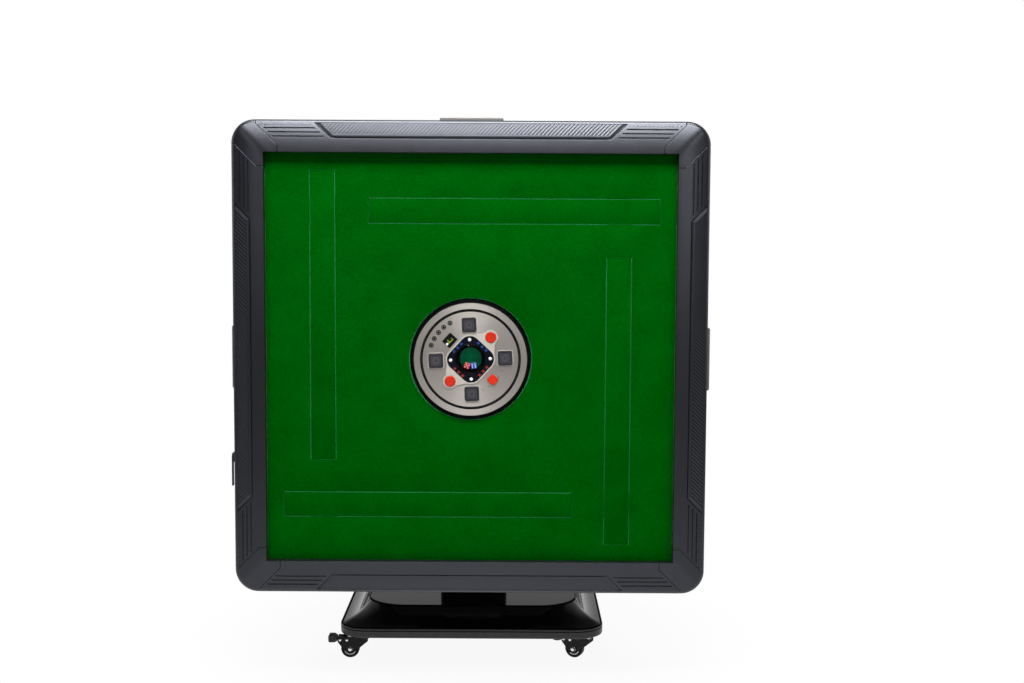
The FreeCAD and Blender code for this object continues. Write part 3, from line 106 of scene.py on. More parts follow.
def dull(material, factor, low, high):
    """Spread the roughness between two values."""
    spread = node(material, "MapRange", {"Value": factor, "To Min": low, "To Max": high})
    feed(material, "Roughness", spread.outputs["Result"])


def ease_edges(material, radius):
    """Let hard edges catch the light as if they were rounded."""
    feed(material, "Normal", node(material, "Bevel", {"Radius": radius}, samples=4).outputs["Normal"])


def emboss(material, factor, depth):
    """Raise the surface by a factor, on top of what is there."""
    shader = material.node_tree.nodes["Principled BSDF"]
    inputs = {"Height": factor, "Distance": depth}
    if shader.inputs["Normal"].is_linked:
        inputs["Normal"] = shader.inputs["Normal"].links[0].from_socket
    feed(material, "Normal", node(material, "Bump", inputs).outputs["Normal"])


def dress(material, *names):
    """Give CAD nodes their finish."""
    for name in names:
        nodes[name].material_slots[0].material = material


powder_coat = finish("powder_coat", (0.010, 0.010, 0.011), 0.45, Specular_IOR_Level=0.25)
tint(powder_coat, speckle(powder_coat, 0.02), (0.3, (0.008, 0.008, 0.009)), (0.7, (0.013, 0.013, 0.014)))
dull(powder_coat, speckle(powder_coat, 0.03), 0.36, 0.52)
ease_edges(powder_coat, 0.0008)
emboss(powder_coat, speckle(powder_coat, 0.0016), 0.00025)

zinc = finish("zinc_plate", (0.62, 0.62, 0.60), 0.3, 1.0)
tint(zinc, speckle(zinc, 0.006), (0.3, (0.50, 0.50, 0.49)), (0.7, (0.68, 0.68, 0.66)))
dull(zinc, speckle(zinc, 0.004), 0.22, 0.42)
ease_edges(zinc, 0.0005)
emboss(zinc, speckle(zinc, 0.0012), 0.00004)

dress(powder_coat, "base_plate")
dress(zinc, "caster_plates")

# Castors: pressed forks with a black coat, nylon wheels with a plated ring let into each side,
# plated nuts and rivets, and a moulded brake pedal with grip ribs on the two in front.
# Each place is the castor's upright axis, its heading and whether it has a brake.
CASTORS = {
    "front_left": ((-0.245, -0.1465), 0.0, True),
    "front_right": ((0.245, -0.1465), -24.0, True),
    "rear_left": ((-0.245, 0.2615), 8.0, False),
    "rear_right": ((0.245, 0.2615), -12.0, False),
}
WHEEL_TRAIL = -0.020
WHEEL_CENTRE = 0.020
WHEEL_RING = [
    (0.0110, 0.0058), (0.0114, 0.0070), (0.0122, 0.0077), (0.0131, 0.0077), (0.0138, 0.0070), (0.0142, 0.0058)
]
AXLE_NUT = [(0.0, 0.0153), (0.0022, 0.0151), (0.0043, 0.0143), (0.0056, 0.0132), (0.0063, 0.0124), (0.0063, 0.0115)]
RIVET_HEAD = [(0.0, 0.0131), (0.0016, 0.0130), (0.0030, 0.0126), (0.0038, 0.0120), (0.0038, 0.0115)]
RIVET_PLACES = (-0.027, -0.042)
RIVET_HEIGHT = 0.040
PLATE_SCREW_REACH = 0.018
PLATE_UNDERSIDE = 0.051
GRIP_START, GRIP_STEP, GRIP_HEIGHT = -0.0655, 0.0026, 0.0497
GRIP_RIB = (0.0014, 0.019, 0.0014)


def make(name, shape, body, slot, *finishes, place=Matrix(), crease=35.0):
    """Turn a finished shape into a piece that rides on a body."""
    bmesh.ops.recalc_face_normals(shape, faces=shape.faces)
    shape.transform(place)
    data = bpy.data.meshes.new(name)
    shape.to_mesh(data)
    shape.free()
    data.shade_smooth()
    data.set_sharp_from_angle(angle=math.radians(crease))
    piece = bpy.data.objects.new(name, data)
    bpy.context.scene.collection.objects.link(piece)
    for material in finishes:
        data.materials.append(material)
    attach(piece, body)
    return piece


def turn_profile(shape, profile, steps=32, place=Matrix()):
    """Spin a line of radii and heights round Z, then set it in place."""
    rim = [shape.verts.new((radius, 0.0, height)) for radius, height in profile]
    line = [shape.edges.new(pair) for pair in zip(rim, rim[1:])]
    before = set(shape.verts) - set(rim)
    bmesh.ops.spin(
        shape, geom=rim + line, cent=(0, 0, 0), axis=(0, 0, 1), angle=math.tau, steps=steps, use_merge=True
    )
    made = [vert for vert in shape.verts if vert not in before]
    bmesh.ops.remove_doubles(shape, verts=made, dist=1e-6)
    made = [vert for vert in shape.verts if vert not in before]
    bmesh.ops.transform(shape, matrix=place, verts=made)


def screw(shape, radius, height, place):
    """A domed screw head with a sunk drive, its seat in the place's own floor."""
    drive = [(0.0, 0.45 * height), (0.34 * radius, 0.45 * height), (0.40 * radius, height)]
    turn_profile(shape, drive + [(0.70 * radius, 0.86 * height), (radius, 0.3 * height), (radius, 0.0)], 18, place)


def bar(shape, size, place, edge, segments=2):
    """A block with all its edges rounded."""
    made = bmesh.ops.create_cube(shape, size=1.0, matrix=place @ Matrix.Diagonal((*size, 1.0)))
    edges = list({line for vert in made["verts"] for line in vert.link_edges})
    bmesh.ops.bevel(
        shape, geom=edges, offset=edge, segments=segments, profile=0.5, affect="EDGES", material=-1
    )


nylon = finish("wheel_nylon", (0.010, 0.010, 0.011), 0.5, Specular_IOR_Level=0.2)
tint(nylon, speckle(nylon, 0.008), (0.3, (0.008, 0.008, 0.009)), (0.75, (0.016, 0.016, 0.017)))
dull(nylon, speckle(nylon, 0.003), 0.38, 0.6)
ease_edges(nylon, 0.0006)
emboss(nylon, speckle(nylon, 0.0009), 0.0001)

light_plating = finish("light_plating", (0.90, 0.90, 0.89), 0.25, 1.0)
tint(light_plating, speckle(light_plating, 0.003), (0.3, (0.85, 0.85, 0.84)), (0.7, (0.94, 0.94, 0.93)))
dull(light_plating, speckle(light_plating, 0.002), 0.20, 0.32)
ease_edges(light_plating, 0.0004)

pedal_plastic = finish("pedal_plastic", (0.03, 0.03, 0.031), 0.5)
tint(pedal_plastic, speckle(pedal_plastic, 0.005), (0.3, (0.022, 0.022, 0.023)), (0.7, (0.042, 0.042, 0.043)))
dull(pedal_plastic, speckle(pedal_plastic, 0.002), 0.4, 0.6)
ease_edges(pedal_plastic, 0.0008)
emboss(pedal_plastic, speckle(pedal_plastic, 0.0008), 0.00015)

for corner, ((x, y), heading, braked) in CASTORS.items():
    upright = Matrix.Translation((x, y, 0.0)) @ Matrix.Rotation(math.radians(heading), 4, "Z")
    dress(powder_coat, f"caster_fork_{corner}")
    dress(nylon, f"caster_wheel_{corner}")
    rings = bmesh.new()
    nuts = bmesh.new()
    for side in (-1, 1):
        outward = Matrix.Rotation(math.radians(90.0 * -side), 4, "X")
        axle = Matrix.Translation((WHEEL_TRAIL, 0.0, WHEEL_CENTRE)) @ outward
        turn_profile(rings, WHEEL_RING, place=axle)
        turn_profile(nuts, AXLE_NUT, place=axle)
        for rivet in RIVET_PLACES:
            turn_profile(nuts, RIVET_HEAD, steps=20, place=Matrix.Translation((rivet, 0.0, RIVET_HEIGHT)) @ outward)
    plate_screws = bmesh.new()
    for corner_x in (-PLATE_SCREW_REACH, PLATE_SCREW_REACH):
        for corner_y in (-PLATE_SCREW_REACH, PLATE_SCREW_REACH):
            seat = Matrix.Translation((corner_x, corner_y, PLATE_UNDERSIDE)) @ Matrix.Rotation(math.pi, 4, "X")
            screw(plate_screws, radius=0.0034, height=0.0020, place=seat)
    make(f"caster_plate_screws_{corner}", plate_screws, "base", "bright_steel", zinc, place=upright)
    make(f"wheel_rings_{corner}", rings, f"wheel_{corner}", "wheel", light_plating, place=upright)
    make(f"axle_nuts_{corner}", nuts, f"caster_{corner}", "bright_steel", light_plating, place=upright)
    if braked:
        dress(pedal_plastic, f"brake_pedal_{corner}")
        grip = bmesh.new()
        for step in range(4):
            spot = Matrix.Translation((GRIP_START + GRIP_STEP * step, 0.0, GRIP_HEIGHT))
            bar(grip, GRIP_RIB, spot, edge=0.0004)
        make(f"pedal_grip_{corner}", grip, f"brake_{corner}", "machine_black", pedal_plastic, place=upright)

# Base skirt and cover: two black mouldings, the cover in high-gloss plastic drawn up to a flat panel
# round the column, the skirt a little duller. A rounded bead lies between them. Thin matt black bands
# just below and above the bead, and one round the flat panel, are painted shade for the grooves there.
skirt_black = finish("skirt_satin_black", (0.072, 0.072, 0.073), 0.34, Specular_IOR_Level=0.3)
tint(skirt_black, speckle(skirt_black, 0.012), (0.3, (0.064, 0.064, 0.065)), (0.7, (0.082, 0.082, 0.083)))
dull(skirt_black, speckle(skirt_black, 0.02), 0.30, 0.40)
ease_edges(skirt_black, 0.0012)
emboss(skirt_black, speckle(skirt_black, 0.0012), 0.00008)

gloss_black = finish("gloss_black", (0.003, 0.003, 0.0035), 0.06, Specular_IOR_Level=0.3)
tint(gloss_black, speckle(gloss_black, 0.05), (0.3, (0.002, 0.002, 0.0025)), (0.7, (0.005, 0.005, 0.0055)))
dull(gloss_black, speckle(gloss_black, 0.04, 5.0), 0.05, 0.12)
emboss(gloss_black, speckle(gloss_black, 0.008, 1.0), 0.00002)

# Matt black for thin bands that are painted shade: they stand for the shadow in the grooves round the base.
groove_shade_black = finish("groove_shade_black", (0.001, 0.001, 0.001), 0.9, Specular_IOR_Level=0.02)
tint(groove_shade_black, speckle(groove_shade_black, 0.004), (0.3, (0.0006, 0.0006, 0.0006)), (0.7, (0.0016, 0.0016, 0.0016)))

dress(skirt_black, "base_skirt")
dress(gloss_black, "base_cover")

BASE_MIDDLE = (0.0, 0.0575)


def hoop(name, half, corner, low, high, wall=0.0012, edge=0.0002, material=groove_shade_black):
    """A band bent round a rounded rectangle and standing on edge, its corners eased."""
    shape = bmesh.new()
    bmesh.ops.create_grid(shape, x_segments=1, y_segments=1, size=1.0, matrix=Matrix.Diagonal((*half, 1.0, 1.0)))
    bmesh.ops.bevel(
        shape, geom=shape.verts[:], offset=corner, segments=14, profile=0.5, affect="VERTICES", material=-1
    )
    bmesh.ops.inset_region(shape, faces=shape.faces[:], thickness=wall, use_boundary=True, use_even_offset=True)
    bmesh.ops.delete(shape, geom=[max(shape.faces, key=lambda face: face.calc_area())], context="FACES")
    upper = bmesh.ops.extrude_face_region(shape, geom=shape.faces[:])["geom"]
    raised = [item for item in upper if isinstance(item, bmesh.types.BMVert)]
    bmesh.ops.translate(shape, vec=(0, 0, high - low), verts=raised)
    rims = [line for line in shape.edges if len(line.link_faces) == 2 and line.calc_face_angle() > 1.2]
    bmesh.ops.bevel(shape, geom=rims, offset=edge, segments=3, profile=0.5, affect="EDGES", material=-1)
    make(name, shape, "base", "gloss_black", material, place=Matrix.Translation((*BASE_MIDDLE, low)), crease=40.0)


# Painted shade: the three black bands stand for the shadow in the grooves; the bead between them is moulded.
hoop("skirt_groove_shade", half=(0.2871, 0.2501), corner=0.0601, low=0.0690, high=0.0712)
hoop(
    "rim_bead", half=(0.2872, 0.2502), corner=0.0602, low=0.0712, high=0.0752, wall=0.0026, edge=0.0011,
    material=skirt_black,
)
hoop("cover_groove_shade", half=(0.2858, 0.2488), corner=0.0588, low=0.0750, high=0.0774)
hoop("panel_groove_shade", half=(0.2306, 0.2076), corner=0.0856, low=0.1118, high=0.1158, wall=0.0014)

# Column, support head and hinge: welded steel with the same powder coat as the base plate.
# A plated pin joins the head's ears to the leaf under the machine, and plated bolts hold both.
dress(powder_coat, "column", "support_head", "hinge_leaf")
dress(zinc, "hinge_pin")

pad_rubber = finish("pad_rubber", (0.02, 0.02, 0.02), 0.8)
tint(pad_rubber, speckle(pad_rubber, 0.006), (0.3, (0.016, 0.016, 0.016)), (0.7, (0.032, 0.031, 0.030)))
dull(pad_rubber, speckle(pad_rubber, 0.002), 0.7, 0.92)
ease_edges(pad_rubber, 0.0012)
emboss(pad_rubber, speckle(pad_rubber, 0.0007), 0.0001)
dress(pad_rubber, "rest_pads")


def hex_bolt(shape, radius, height, place):
    """A six-sided head with a bevelled top, on a washer."""
    seat = 0.0012
    washer = [(0.0, seat), (1.35 * radius, seat), (1.45 * radius, 0.4 * seat), (1.45 * radius, 0.0)]
    turn_profile(shape, washer, 28, place)
    head = bmesh.ops.create_cone(
        shape,
        cap_ends=True,
        segments=6,
        radius1=radius,
        radius2=radius,
        depth=height - seat,
        matrix=place @ Matrix.Translation((0.0, 0.0, (height + seat) / 2)),
    )
    up = place.to_3x3() @ Vector((0, 0, 1))
    sides = {face for vert in head["verts"] for face in vert.link_faces}
    lid = max(sides, key=lambda face: face.calc_center_median().dot(up))
    bmesh.ops.bevel(
        shape, geom=lid.edges[:], offset=0.16 * radius, segments=2, profile=0.5, affect="EDGES", material=-1
    )


LEAF_BACK = -0.0985
LEAF_HOLES = ((-0.06, 0.592), (0.06, 0.592), (-0.06, 0.758), (0.06, 0.758), (-0.135, 0.67), (0.135, 0.67))
BOLT_RADIUS, BOLT_HEIGHT = 0.0062, 0.0050
leaf_bolts = bmesh.new()
for x, z in LEAF_HOLES:
    backwards = Matrix.Translation((x, LEAF_BACK, z)) @ Matrix.Rotation(math.radians(-90), 4, "X")
    hex_bolt(leaf_bolts, BOLT_RADIUS, BOLT_HEIGHT, backwards)
make("leaf_bolts", leaf_bolts, "table", "bright_steel", zinc)

HEAD_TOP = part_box("support_head")[1].z
head_bolts = bmesh.new()
for x in (-0.05, 0.05):
    for y in (0.0225, 0.0925):
        hex_bolt(head_bolts, BOLT_RADIUS, BOLT_HEIGHT, Matrix.Translation((x, y, HEAD_TOP)))
make("head_bolts", head_bolts, "base", "bright_steel", zinc)

# Machine pan, bottom cover and inlet: black mouldings with a leather grain, screwed together.
# The appliance inlet on the cover has three plated pins.
grained_black = finish("grained_black", (0.024, 0.024, 0.025), 0.55)
tint(grained_black, speckle(grained_black, 0.03), (0.3, (0.019, 0.019, 0.020)), (0.7, (0.030, 0.030, 0.031)))
dull(grained_black, speckle(grained_black, 0.01), 0.46, 0.64)
ease_edges(grained_black, 0.0010)
cells = node(grained_black, "TexVoronoi", {"Vector": spot_on(grained_black), "Scale": 620.0}).outputs["Distance"]
emboss(grained_black, cells, 0.0003)
dress(grained_black, "machine_pan", "bottom_cover", "power_inlet", "drawer_sleeves")

COVER_BACK = -0.1045
PANEL_HEIGHT = 0.670
COVER_SCREW_LINE = 0.338
cover_screws = bmesh.new()
for turn in range(4):
    around = Matrix.Translation((0.0, COVER_BACK, PANEL_HEIGHT)) @ Matrix.Rotation(math.radians(90 * turn), 4, "Y")
    for along in (-0.24, 0.0, 0.24):
        spot = Matrix.Translation((along, 0.0, COVER_SCREW_LINE)) @ Matrix.Rotation(math.radians(-90), 4, "X")
        screw(cover_screws, radius=0.0045, height=0.0028, place=around @ spot)
make("cover_screws", cover_screws, "table", "bright_steel", zinc)

INLET_PIN = (0.0023, 0.0072, 0.0063)
PIN_PLACES = ((0.243, 0.400), (0.250, 0.402), (0.257, 0.400))
PIN_DEPTH = -0.0984
inlet_pins = bmesh.new()
for x, z in PIN_PLACES:
    bar(inlet_pins, INLET_PIN, Matrix.Translation((x, PIN_DEPTH, z)), edge=0.0004)
make("inlet_pins", inlet_pins, "table", "bright_steel", zinc)

# Mixing drum, turntable and console guide inside the machine: natural mouldings.
# The turntable's rim is driven by a rubber roller on the shaft of a plated motor.
natural_plastic = finish("natural_plastic", (0.66, 0.65, 0.61), 0.45)
tint(natural_plastic, speckle(natural_plastic, 0.04), (0.3, (0.60, 0.59, 0.55)), (0.7, (0.71, 0.70, 0.66)))
dull(natural_plastic, speckle(natural_plastic, 0.01), 0.36, 0.52)
ease_edges(natural_plastic, 0.0008)
emboss(natural_plastic, speckle(natural_plastic, 0.002), 0.00006)
dress(natural_plastic, "mixing_drum", "turntable", "console_guide")
dress(pad_rubber, "drive_roller")
dress(zinc, "turntable_motor")

# Frame round the top: four rails and four corner caps moulded in charcoal plastic, crowned across their
# faces, with a fine spark-eroded grain. A sunk band on each rail carries slanting ribs with a plain
# strip beside them, and a row of short ribs runs on from the band towards each corner.
FRAME_FRONT = -0.3075
PANEL = Matrix.Translation((0.0, FRAME_FRONT, PANEL_HEIGHT)) @ Matrix.Rotation(math.radians(90), 4, "X")
SIDES = {"rear": 0.0, "right": -90.0, "front": 180.0, "left": 90.0}
OPENING_HALF = 0.420
RIB_PITCH = 0.0080
RIB_SLANT = math.radians(45)
RIB_ROUND = 0.0061
RIB_LENGTH = 0.044
RIB_ROOT = 0.0003
BAND_OUTER = 0.479
BAND_INNER = 0.4555
BAND_FLOOR = -0.0009
BAND_HALF = 0.3045
BAND_MARGIN = 0.0003
BAND_RIB_HEIGHT, EDGE_RIB_HEIGHT = 0.00040, 0.00025
STRIP_SIZE = (0.700, 0.0066, 0.0010)
STRIP_PLACE = (0.0, 0.4522, -0.0013)
EDGE_STRIP = (0.4765, 0.4730)
EDGE_ROWS = {"near": (0.3190, 0.4290), "far": (-0.4290, -0.3190)}
CROWN, STRIP_CROWN = 2.05, 0.60
CROWN_SLOPE = 0.090
MITRE_BLEND = 0.02


def reckon(material, operation, *values):
    """One step of arithmetic on shader values."""
    return node(material, "Math", dict(enumerate(values)), operation=operation).outputs[0]


def charcoal_finish(name, eased, crown):
    """Charcoal plastic; crown is how much it falls away from the lip, as a barrel-shaped face does."""
    material = finish(
        name, (0.0085, 0.0085, 0.0105), 0.36, Specular_IOR_Level=0.9, Specular_Tint=(0.84, 0.87, 1.0, 1.0)
    )
    tint(material, speckle(material, 0.05), (0.3, (0.0075, 0.0075, 0.0093)), (0.7, (0.0100, 0.0100, 0.0122)))
    dull(material, speckle(material, 0.02), 0.30, 0.36)
    if eased:
        ease_edges(material, 0.0016)
    from_middle = spot_on(material, (0.0, 0.0, PANEL_HEIGHT))
    away = node(material, "VectorMath", {0: from_middle}, operation="ABSOLUTE").outputs[0]
    reach = node(material, "SeparateXYZ", {"Vector": away}).outputs
    outer_way = reckon(material, "SMOOTH_MAX", reach["X"], reach["Z"], MITRE_BLEND)
    past_lip = reckon(material, "SUBTRACT", outer_way, OPENING_HALF)
    square = reckon(material, "MULTIPLY", past_lip, past_lip)
    fall = reckon(material, "MULTIPLY_ADD", past_lip, CROWN_SLOPE, square)
    emboss(material, reckon(material, "MULTIPLY", fall, -1.0), crown)
    emboss(material, speckle(material, 0.0011), 0.00003)
    return material


charcoal = charcoal_finish("charcoal_plastic", True, CROWN)
rib_charcoal = charcoal_finish("rib_charcoal", False, CROWN)
strip_charcoal = charcoal_finish("strip_charcoal", False, STRIP_CROWN)
dress(charcoal, "frame_corner_caps", *(f"frame_rail_{side}" for side in SIDES))


def repeat(shape, geometry, step, count):
    """Lay copies of a shape at even steps."""
    for index in range(1, count):
        copy = bmesh.ops.duplicate(shape, geom=geometry)["geom"]
        verts = [item for item in copy if isinstance(item, bmesh.types.BMVert)]
        bmesh.ops.translate(shape, vec=Vector(step) * index, verts=verts)


def trim_to(shape, point, outward):
    """Cut away all that lies beyond a plane, and close the cut."""
    everything = shape.verts[:] + shape.edges[:] + shape.faces[:]
    bmesh.ops.bisect_plane(shape, geom=everything, plane_co=point, plane_no=outward, clear_outer=True)
    bmesh.ops.holes_fill(shape, edges=[edge for edge in shape.edges if edge.is_boundary])


def slant_ribs(strip, ends, floor, proud):
    """A row of slanting ribs on a floor, trimmed to a strip and to its ends, each a place and a slope."""
    shape = bmesh.new()
    (outer, inner), (first, last) = strip, ends
    middle = (first[0] + last[0]) / 2
    count = int((last[0] - first[0]) / RIB_PITCH) + 8
    start = Matrix.Translation((middle - RIB_PITCH * (count - 1) / 2, (outer + inner) / 2, floor))
    sunk = Matrix.Rotation(RIB_SLANT, 4, "Z") @ Matrix.Translation((0.0, 0.0, proud - RIB_ROUND))
    bmesh.ops.create_cone(
        shape, cap_ends=True, segments=72, radius1=RIB_ROUND, radius2=RIB_ROUND, depth=RIB_LENGTH,
        matrix=start @ sunk @ Matrix.Rotation(math.radians(90), 4, "Y"),
    )
    trim_to(shape, (0.0, 0.0, floor - RIB_ROOT), (0, 0, -1))
    repeat(shape, shape.verts[:] + shape.edges[:] + shape.faces[:], (RIB_PITCH, 0.0, 0.0), count)
    trim_to(shape, (0.0, outer, 0.0), (0, 1, 0))
    trim_to(shape, (0.0, inner, 0.0), (0, -1, 0))
    trim_to(shape, (first[0], outer, 0.0), (-1, first[1], 0))
    trim_to(shape, (last[0], outer, 0.0), (1, last[1], 0))
    return shape


for side, turn in SIDES.items():
    around = PANEL @ Matrix.Rotation(math.radians(turn), 4, "Z")
    band = (BAND_OUTER - BAND_MARGIN, BAND_INNER + BAND_MARGIN)
    ribs = slant_ribs(band, ((-BAND_HALF, -1), (BAND_HALF, -1)), BAND_FLOOR, BAND_RIB_HEIGHT)
    make(f"rail_ribs_{side}", ribs, "table", "frame_plastic", rib_charcoal, place=around, crease=50.0)
    strip = bmesh.new()
    bar(strip, STRIP_SIZE, Matrix.Translation(STRIP_PLACE), edge=0.0001)
    trim_to(strip, (-BAND_HALF, BAND_OUTER, 0.0), (-1, -1, 0))
    trim_to(strip, (BAND_HALF, BAND_OUTER, 0.0), (1, -1, 0))
    make(f"rail_strip_{side}", strip, "table", "frame_plastic", strip_charcoal, place=around, crease=50.0)
    for end, (first, last) in EDGE_ROWS.items():
        ribs = slant_ribs(EDGE_STRIP, ((first, 0), (last, 0)), 0.0, EDGE_RIB_HEIGHT)
        make(f"edge_ribs_{side}_{end}", ribs, "table", "frame_plastic", rib_charcoal, place=around, crease=50.0)

# Tabletop board: raw fibreboard under the frame's lip, cut for the console and the tile slots.
# It is held by the frame, and only its cut edges show when a lift is down.
fibreboard = finish("fibreboard", (0.42, 0.31, 0.20), 0.75)
tint(fibreboard, speckle(fibreboard, 0.004, 6.0), (0.3, (0.33, 0.24, 0.15)), (0.7, (0.47, 0.36, 0.24)))
dull(fibreboard, speckle(fibreboard, 0.002), 0.65, 0.85)
emboss(fibreboard, speckle(fibreboard, 0.0008, 5.0), 0.0002)
dress(fibreboard, "tabletop_board")

# Playing cloth: green napped cloth bonded to the board, cut out for the console and the four slots.
# Its cut edges are rolled in and take a brighter green, partly the lighter thread of the cut and partly a painted
# highlight; each tile lift wears a patch of the same cloth.
CLOTH_FRONT = -0.018
CLOTH_THICKNESS = 0.001
CLOTH_HALF = 0.4197
SLOT_NEAR, SLOT_FAR = 0.277, 0.329
SLOT_START, SLOT_END = -0.209, 0.385
CONSOLE_HOLE = 0.125
CLOTH_ROLL = 0.0006
HOLE_MARGIN, CUT_MARGIN = 0.002, 0.001
UPRIGHT_BELOW = 0.97
HEM_SECTION = [(0.1246, -0.0034), (0.1249, -0.0016), (0.1256, -0.0005), (0.1264, 0.0002)]

green_nap = finish(
    "green_nap", (0.0, 0.078, 0.005), 0.95, Specular_IOR_Level=0.0, Sheen_Weight=0.01, Sheen_Roughness=0.6,
    Sheen_Tint=(0.0, 0.60, 0.02, 1.0),
)
broad = speckle(green_nap, 0.06, 2.0)
fine = speckle(green_nap, 0.0022, 4.0)
blend = node(green_nap, "Mix", {"Factor": 0.25, "A": fine, "B": broad}).outputs["Result"]
tint(green_nap, blend, (0.30, (0.0, 0.070, 0.0010)), (0.70, (0.0, 0.131, 0.0038)))
dull(green_nap, speckle(green_nap, 0.004), 0.88, 1.0)
emboss(green_nap, speckle(green_nap, 0.0012, 5.0), 0.0006)

# The rolled cut edges: a brighter green that is partly the cut thread's own tone and partly painted highlight.
thread_and_highlight_edge = finish("cloth_thread_and_highlight", (0.008, 0.22, 0.060), 0.9)
tint(thread_and_highlight_edge, speckle(thread_and_highlight_edge, 0.006), (0.3, (0.004, 0.16, 0.040)), (0.7, (0.012, 0.28, 0.080)))
emboss(thread_and_highlight_edge, speckle(thread_and_highlight_edge, 0.0006), 0.0003)


def roll_edges(shape, depth, radius):
    """Turn the open edges of a flat cloth down and round them over; they take the second finish."""
    rim = [edge for edge in shape.edges if edge.is_boundary]
    hem = bmesh.ops.extrude_edge_only(shape, edges=rim)["geom"]
    bmesh.ops.translate(
        shape, vec=(0, 0, -depth), verts=[item for item in hem if isinstance(item, bmesh.types.BMVert)]
    )
    bmesh.ops.bevel(
        shape, geom=rim, offset=radius, segments=3, profile=0.5, affect="EDGES", material=-1
    )
    shape.normal_update()
    for face in shape.faces:
        on_hole = face.calc_center_median().xy.length < CONSOLE_HOLE + HOLE_MARGIN
        on_long_cut = max(edge.calc_length() for edge in face.edges) > SLOT_FAR - SLOT_NEAR + CUT_MARGIN
        face.material_index = int(abs(face.normal.z) < UPRIGHT_BELOW and (on_hole or on_long_cut))


cloth = bmesh.new()
bmesh.ops.create_grid(cloth, x_segments=1, y_segments=1, size=CLOTH_HALF)
for axis in (Vector((1, 0, 0)), Vector((0, 1, 0))):
    for level in (SLOT_NEAR, SLOT_FAR, -SLOT_START, SLOT_END):
        for sign in (-1, 1):
            everything = cloth.verts[:] + cloth.edges[:] + cloth.faces[:]
            bmesh.ops.bisect_plane(cloth, geom=everything, plane_co=axis * level * sign, plane_no=axis)
in_slots = []
for face in cloth.faces:
    x, y, _ = face.calc_center_median()
    for turned_x, turned_y in ((x, y), (-y, x), (-x, -y), (y, -x)):
        if SLOT_START < turned_x < SLOT_END and SLOT_NEAR < turned_y < SLOT_FAR:
            in_slots.append(face)
bmesh.ops.delete(cloth, geom=in_slots, context="FACES")
middle = min(cloth.faces, key=lambda face: face.calc_center_median().length)
square = middle.edges[:]
bmesh.ops.delete(cloth, geom=[middle], context="FACES_ONLY")
ring = bmesh.ops.create_circle(cloth, cap_ends=False, segments=128, radius=CONSOLE_HOLE)["verts"]
hole_edges = list({edge for vert in ring for edge in vert.link_edges})
bmesh.ops.triangle_fill(cloth, use_beauty=True, edges=square + hole_edges, normal=(0, 0, 1))
bmesh.ops.recalc_face_normals(cloth, faces=cloth.faces)
roll_edges(cloth, CLOTH_THICKNESS, CLOTH_ROLL)
playing_cloth = make(
    "playing_cloth_sheet", cloth, "table", "cloth", green_nap, thread_and_highlight_edge,
    place=PANEL @ Matrix.Translation((0.0, 0.0, CLOTH_FRONT)), crease=80.0,
)
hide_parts("playing_cloth")

# The hem round the console hole: a far brighter green than the cloth, a painted highlight along its rolled edge.
hem_painted_highlight = finish("cloth_hem_highlight", (0.06, 0.60, 0.28), 0.9)
tint(hem_painted_highlight, speckle(hem_painted_highlight, 0.004), (0.3, (0.04, 0.52, 0.23)), (0.7, (0.08, 0.68, 0.33)))
emboss(hem_painted_highlight, speckle(hem_painted_highlight, 0.0006), 0.0003)
hole_hem = bmesh.new()
turn_profile(hole_hem, HEM_SECTION, steps=128)
hem = make(
    "hole_hem", hole_hem, "table", "cloth", hem_painted_highlight, place=PANEL @ Matrix.Translation((0.0, 0.0, CLOTH_FRONT))
)

LIFT_HALF_LENGTH, LIFT_HALF_WIDTH = 0.2965, 0.0255
LIFT_HEM = 0.004
LIFT_FRONT = CLOTH_FRONT + 0.0003
for side, turn in SIDES.items():
    dress(grained_black, f"tile_lift_{side}")
    patch = bmesh.new()
    bmesh.ops.create_grid(
        patch, x_segments=1, y_segments=1, size=1.0,
        matrix=Matrix.Translation(((SLOT_START + SLOT_END) / 2, (SLOT_NEAR + SLOT_FAR) / 2, LIFT_FRONT))
        @ Matrix.Diagonal((LIFT_HALF_LENGTH, LIFT_HALF_WIDTH, 1.0, 1.0)),
    )
    roll_edges(patch, LIFT_HEM, CLOTH_ROLL)
    lift_cloth = make(
        f"lift_cloth_{side}", patch, f"tile_lift_{side}", "cloth", green_nap, thread_and_highlight_edge,
        place=PANEL @ Matrix.Rotation(math.radians(turn), 4, "Z"), crease=80.0,
    )

# Drawers, one on each side, and the lever that frees the fold: satin mouldings.
# The drawers are mid grey and slide in black sleeves; the lever is dark.
drawer_grey = finish("drawer_grey", (0.20, 0.195, 0.19), 0.36)
tint(drawer_grey, speckle(drawer_grey, 0.03), (0.3, (0.18, 0.176, 0.172)), (0.7, (0.22, 0.214, 0.208)))
dull(drawer_grey, speckle(drawer_grey, 0.01), 0.30, 0.44)
ease_edges(drawer_grey, 0.0010)
emboss(drawer_grey, speckle(drawer_grey, 0.0010), 0.00008)
dress(drawer_grey, *(f"drawer_{side}" for side in SIDES))
dress(pedal_plastic, "fold_lever")

# Console plate and ring: sheet metal in a champagne tone, brushed round and round, in a black housing.
# A pearl-white frame lies round the dark bezel and reaches out round the two dice buttons.
CONSOLE_TURN = math.radians(2.5)
CONSOLE = PANEL @ Matrix.Rotation(CONSOLE_TURN, 4, "Z")
CONSOLE_HEART = (0.0, FRAME_FRONT, PANEL_HEIGHT)
PLATE_FRONT = -0.012
BEZEL_FRONT = -0.011
BUTTON_FRONT = -0.0094

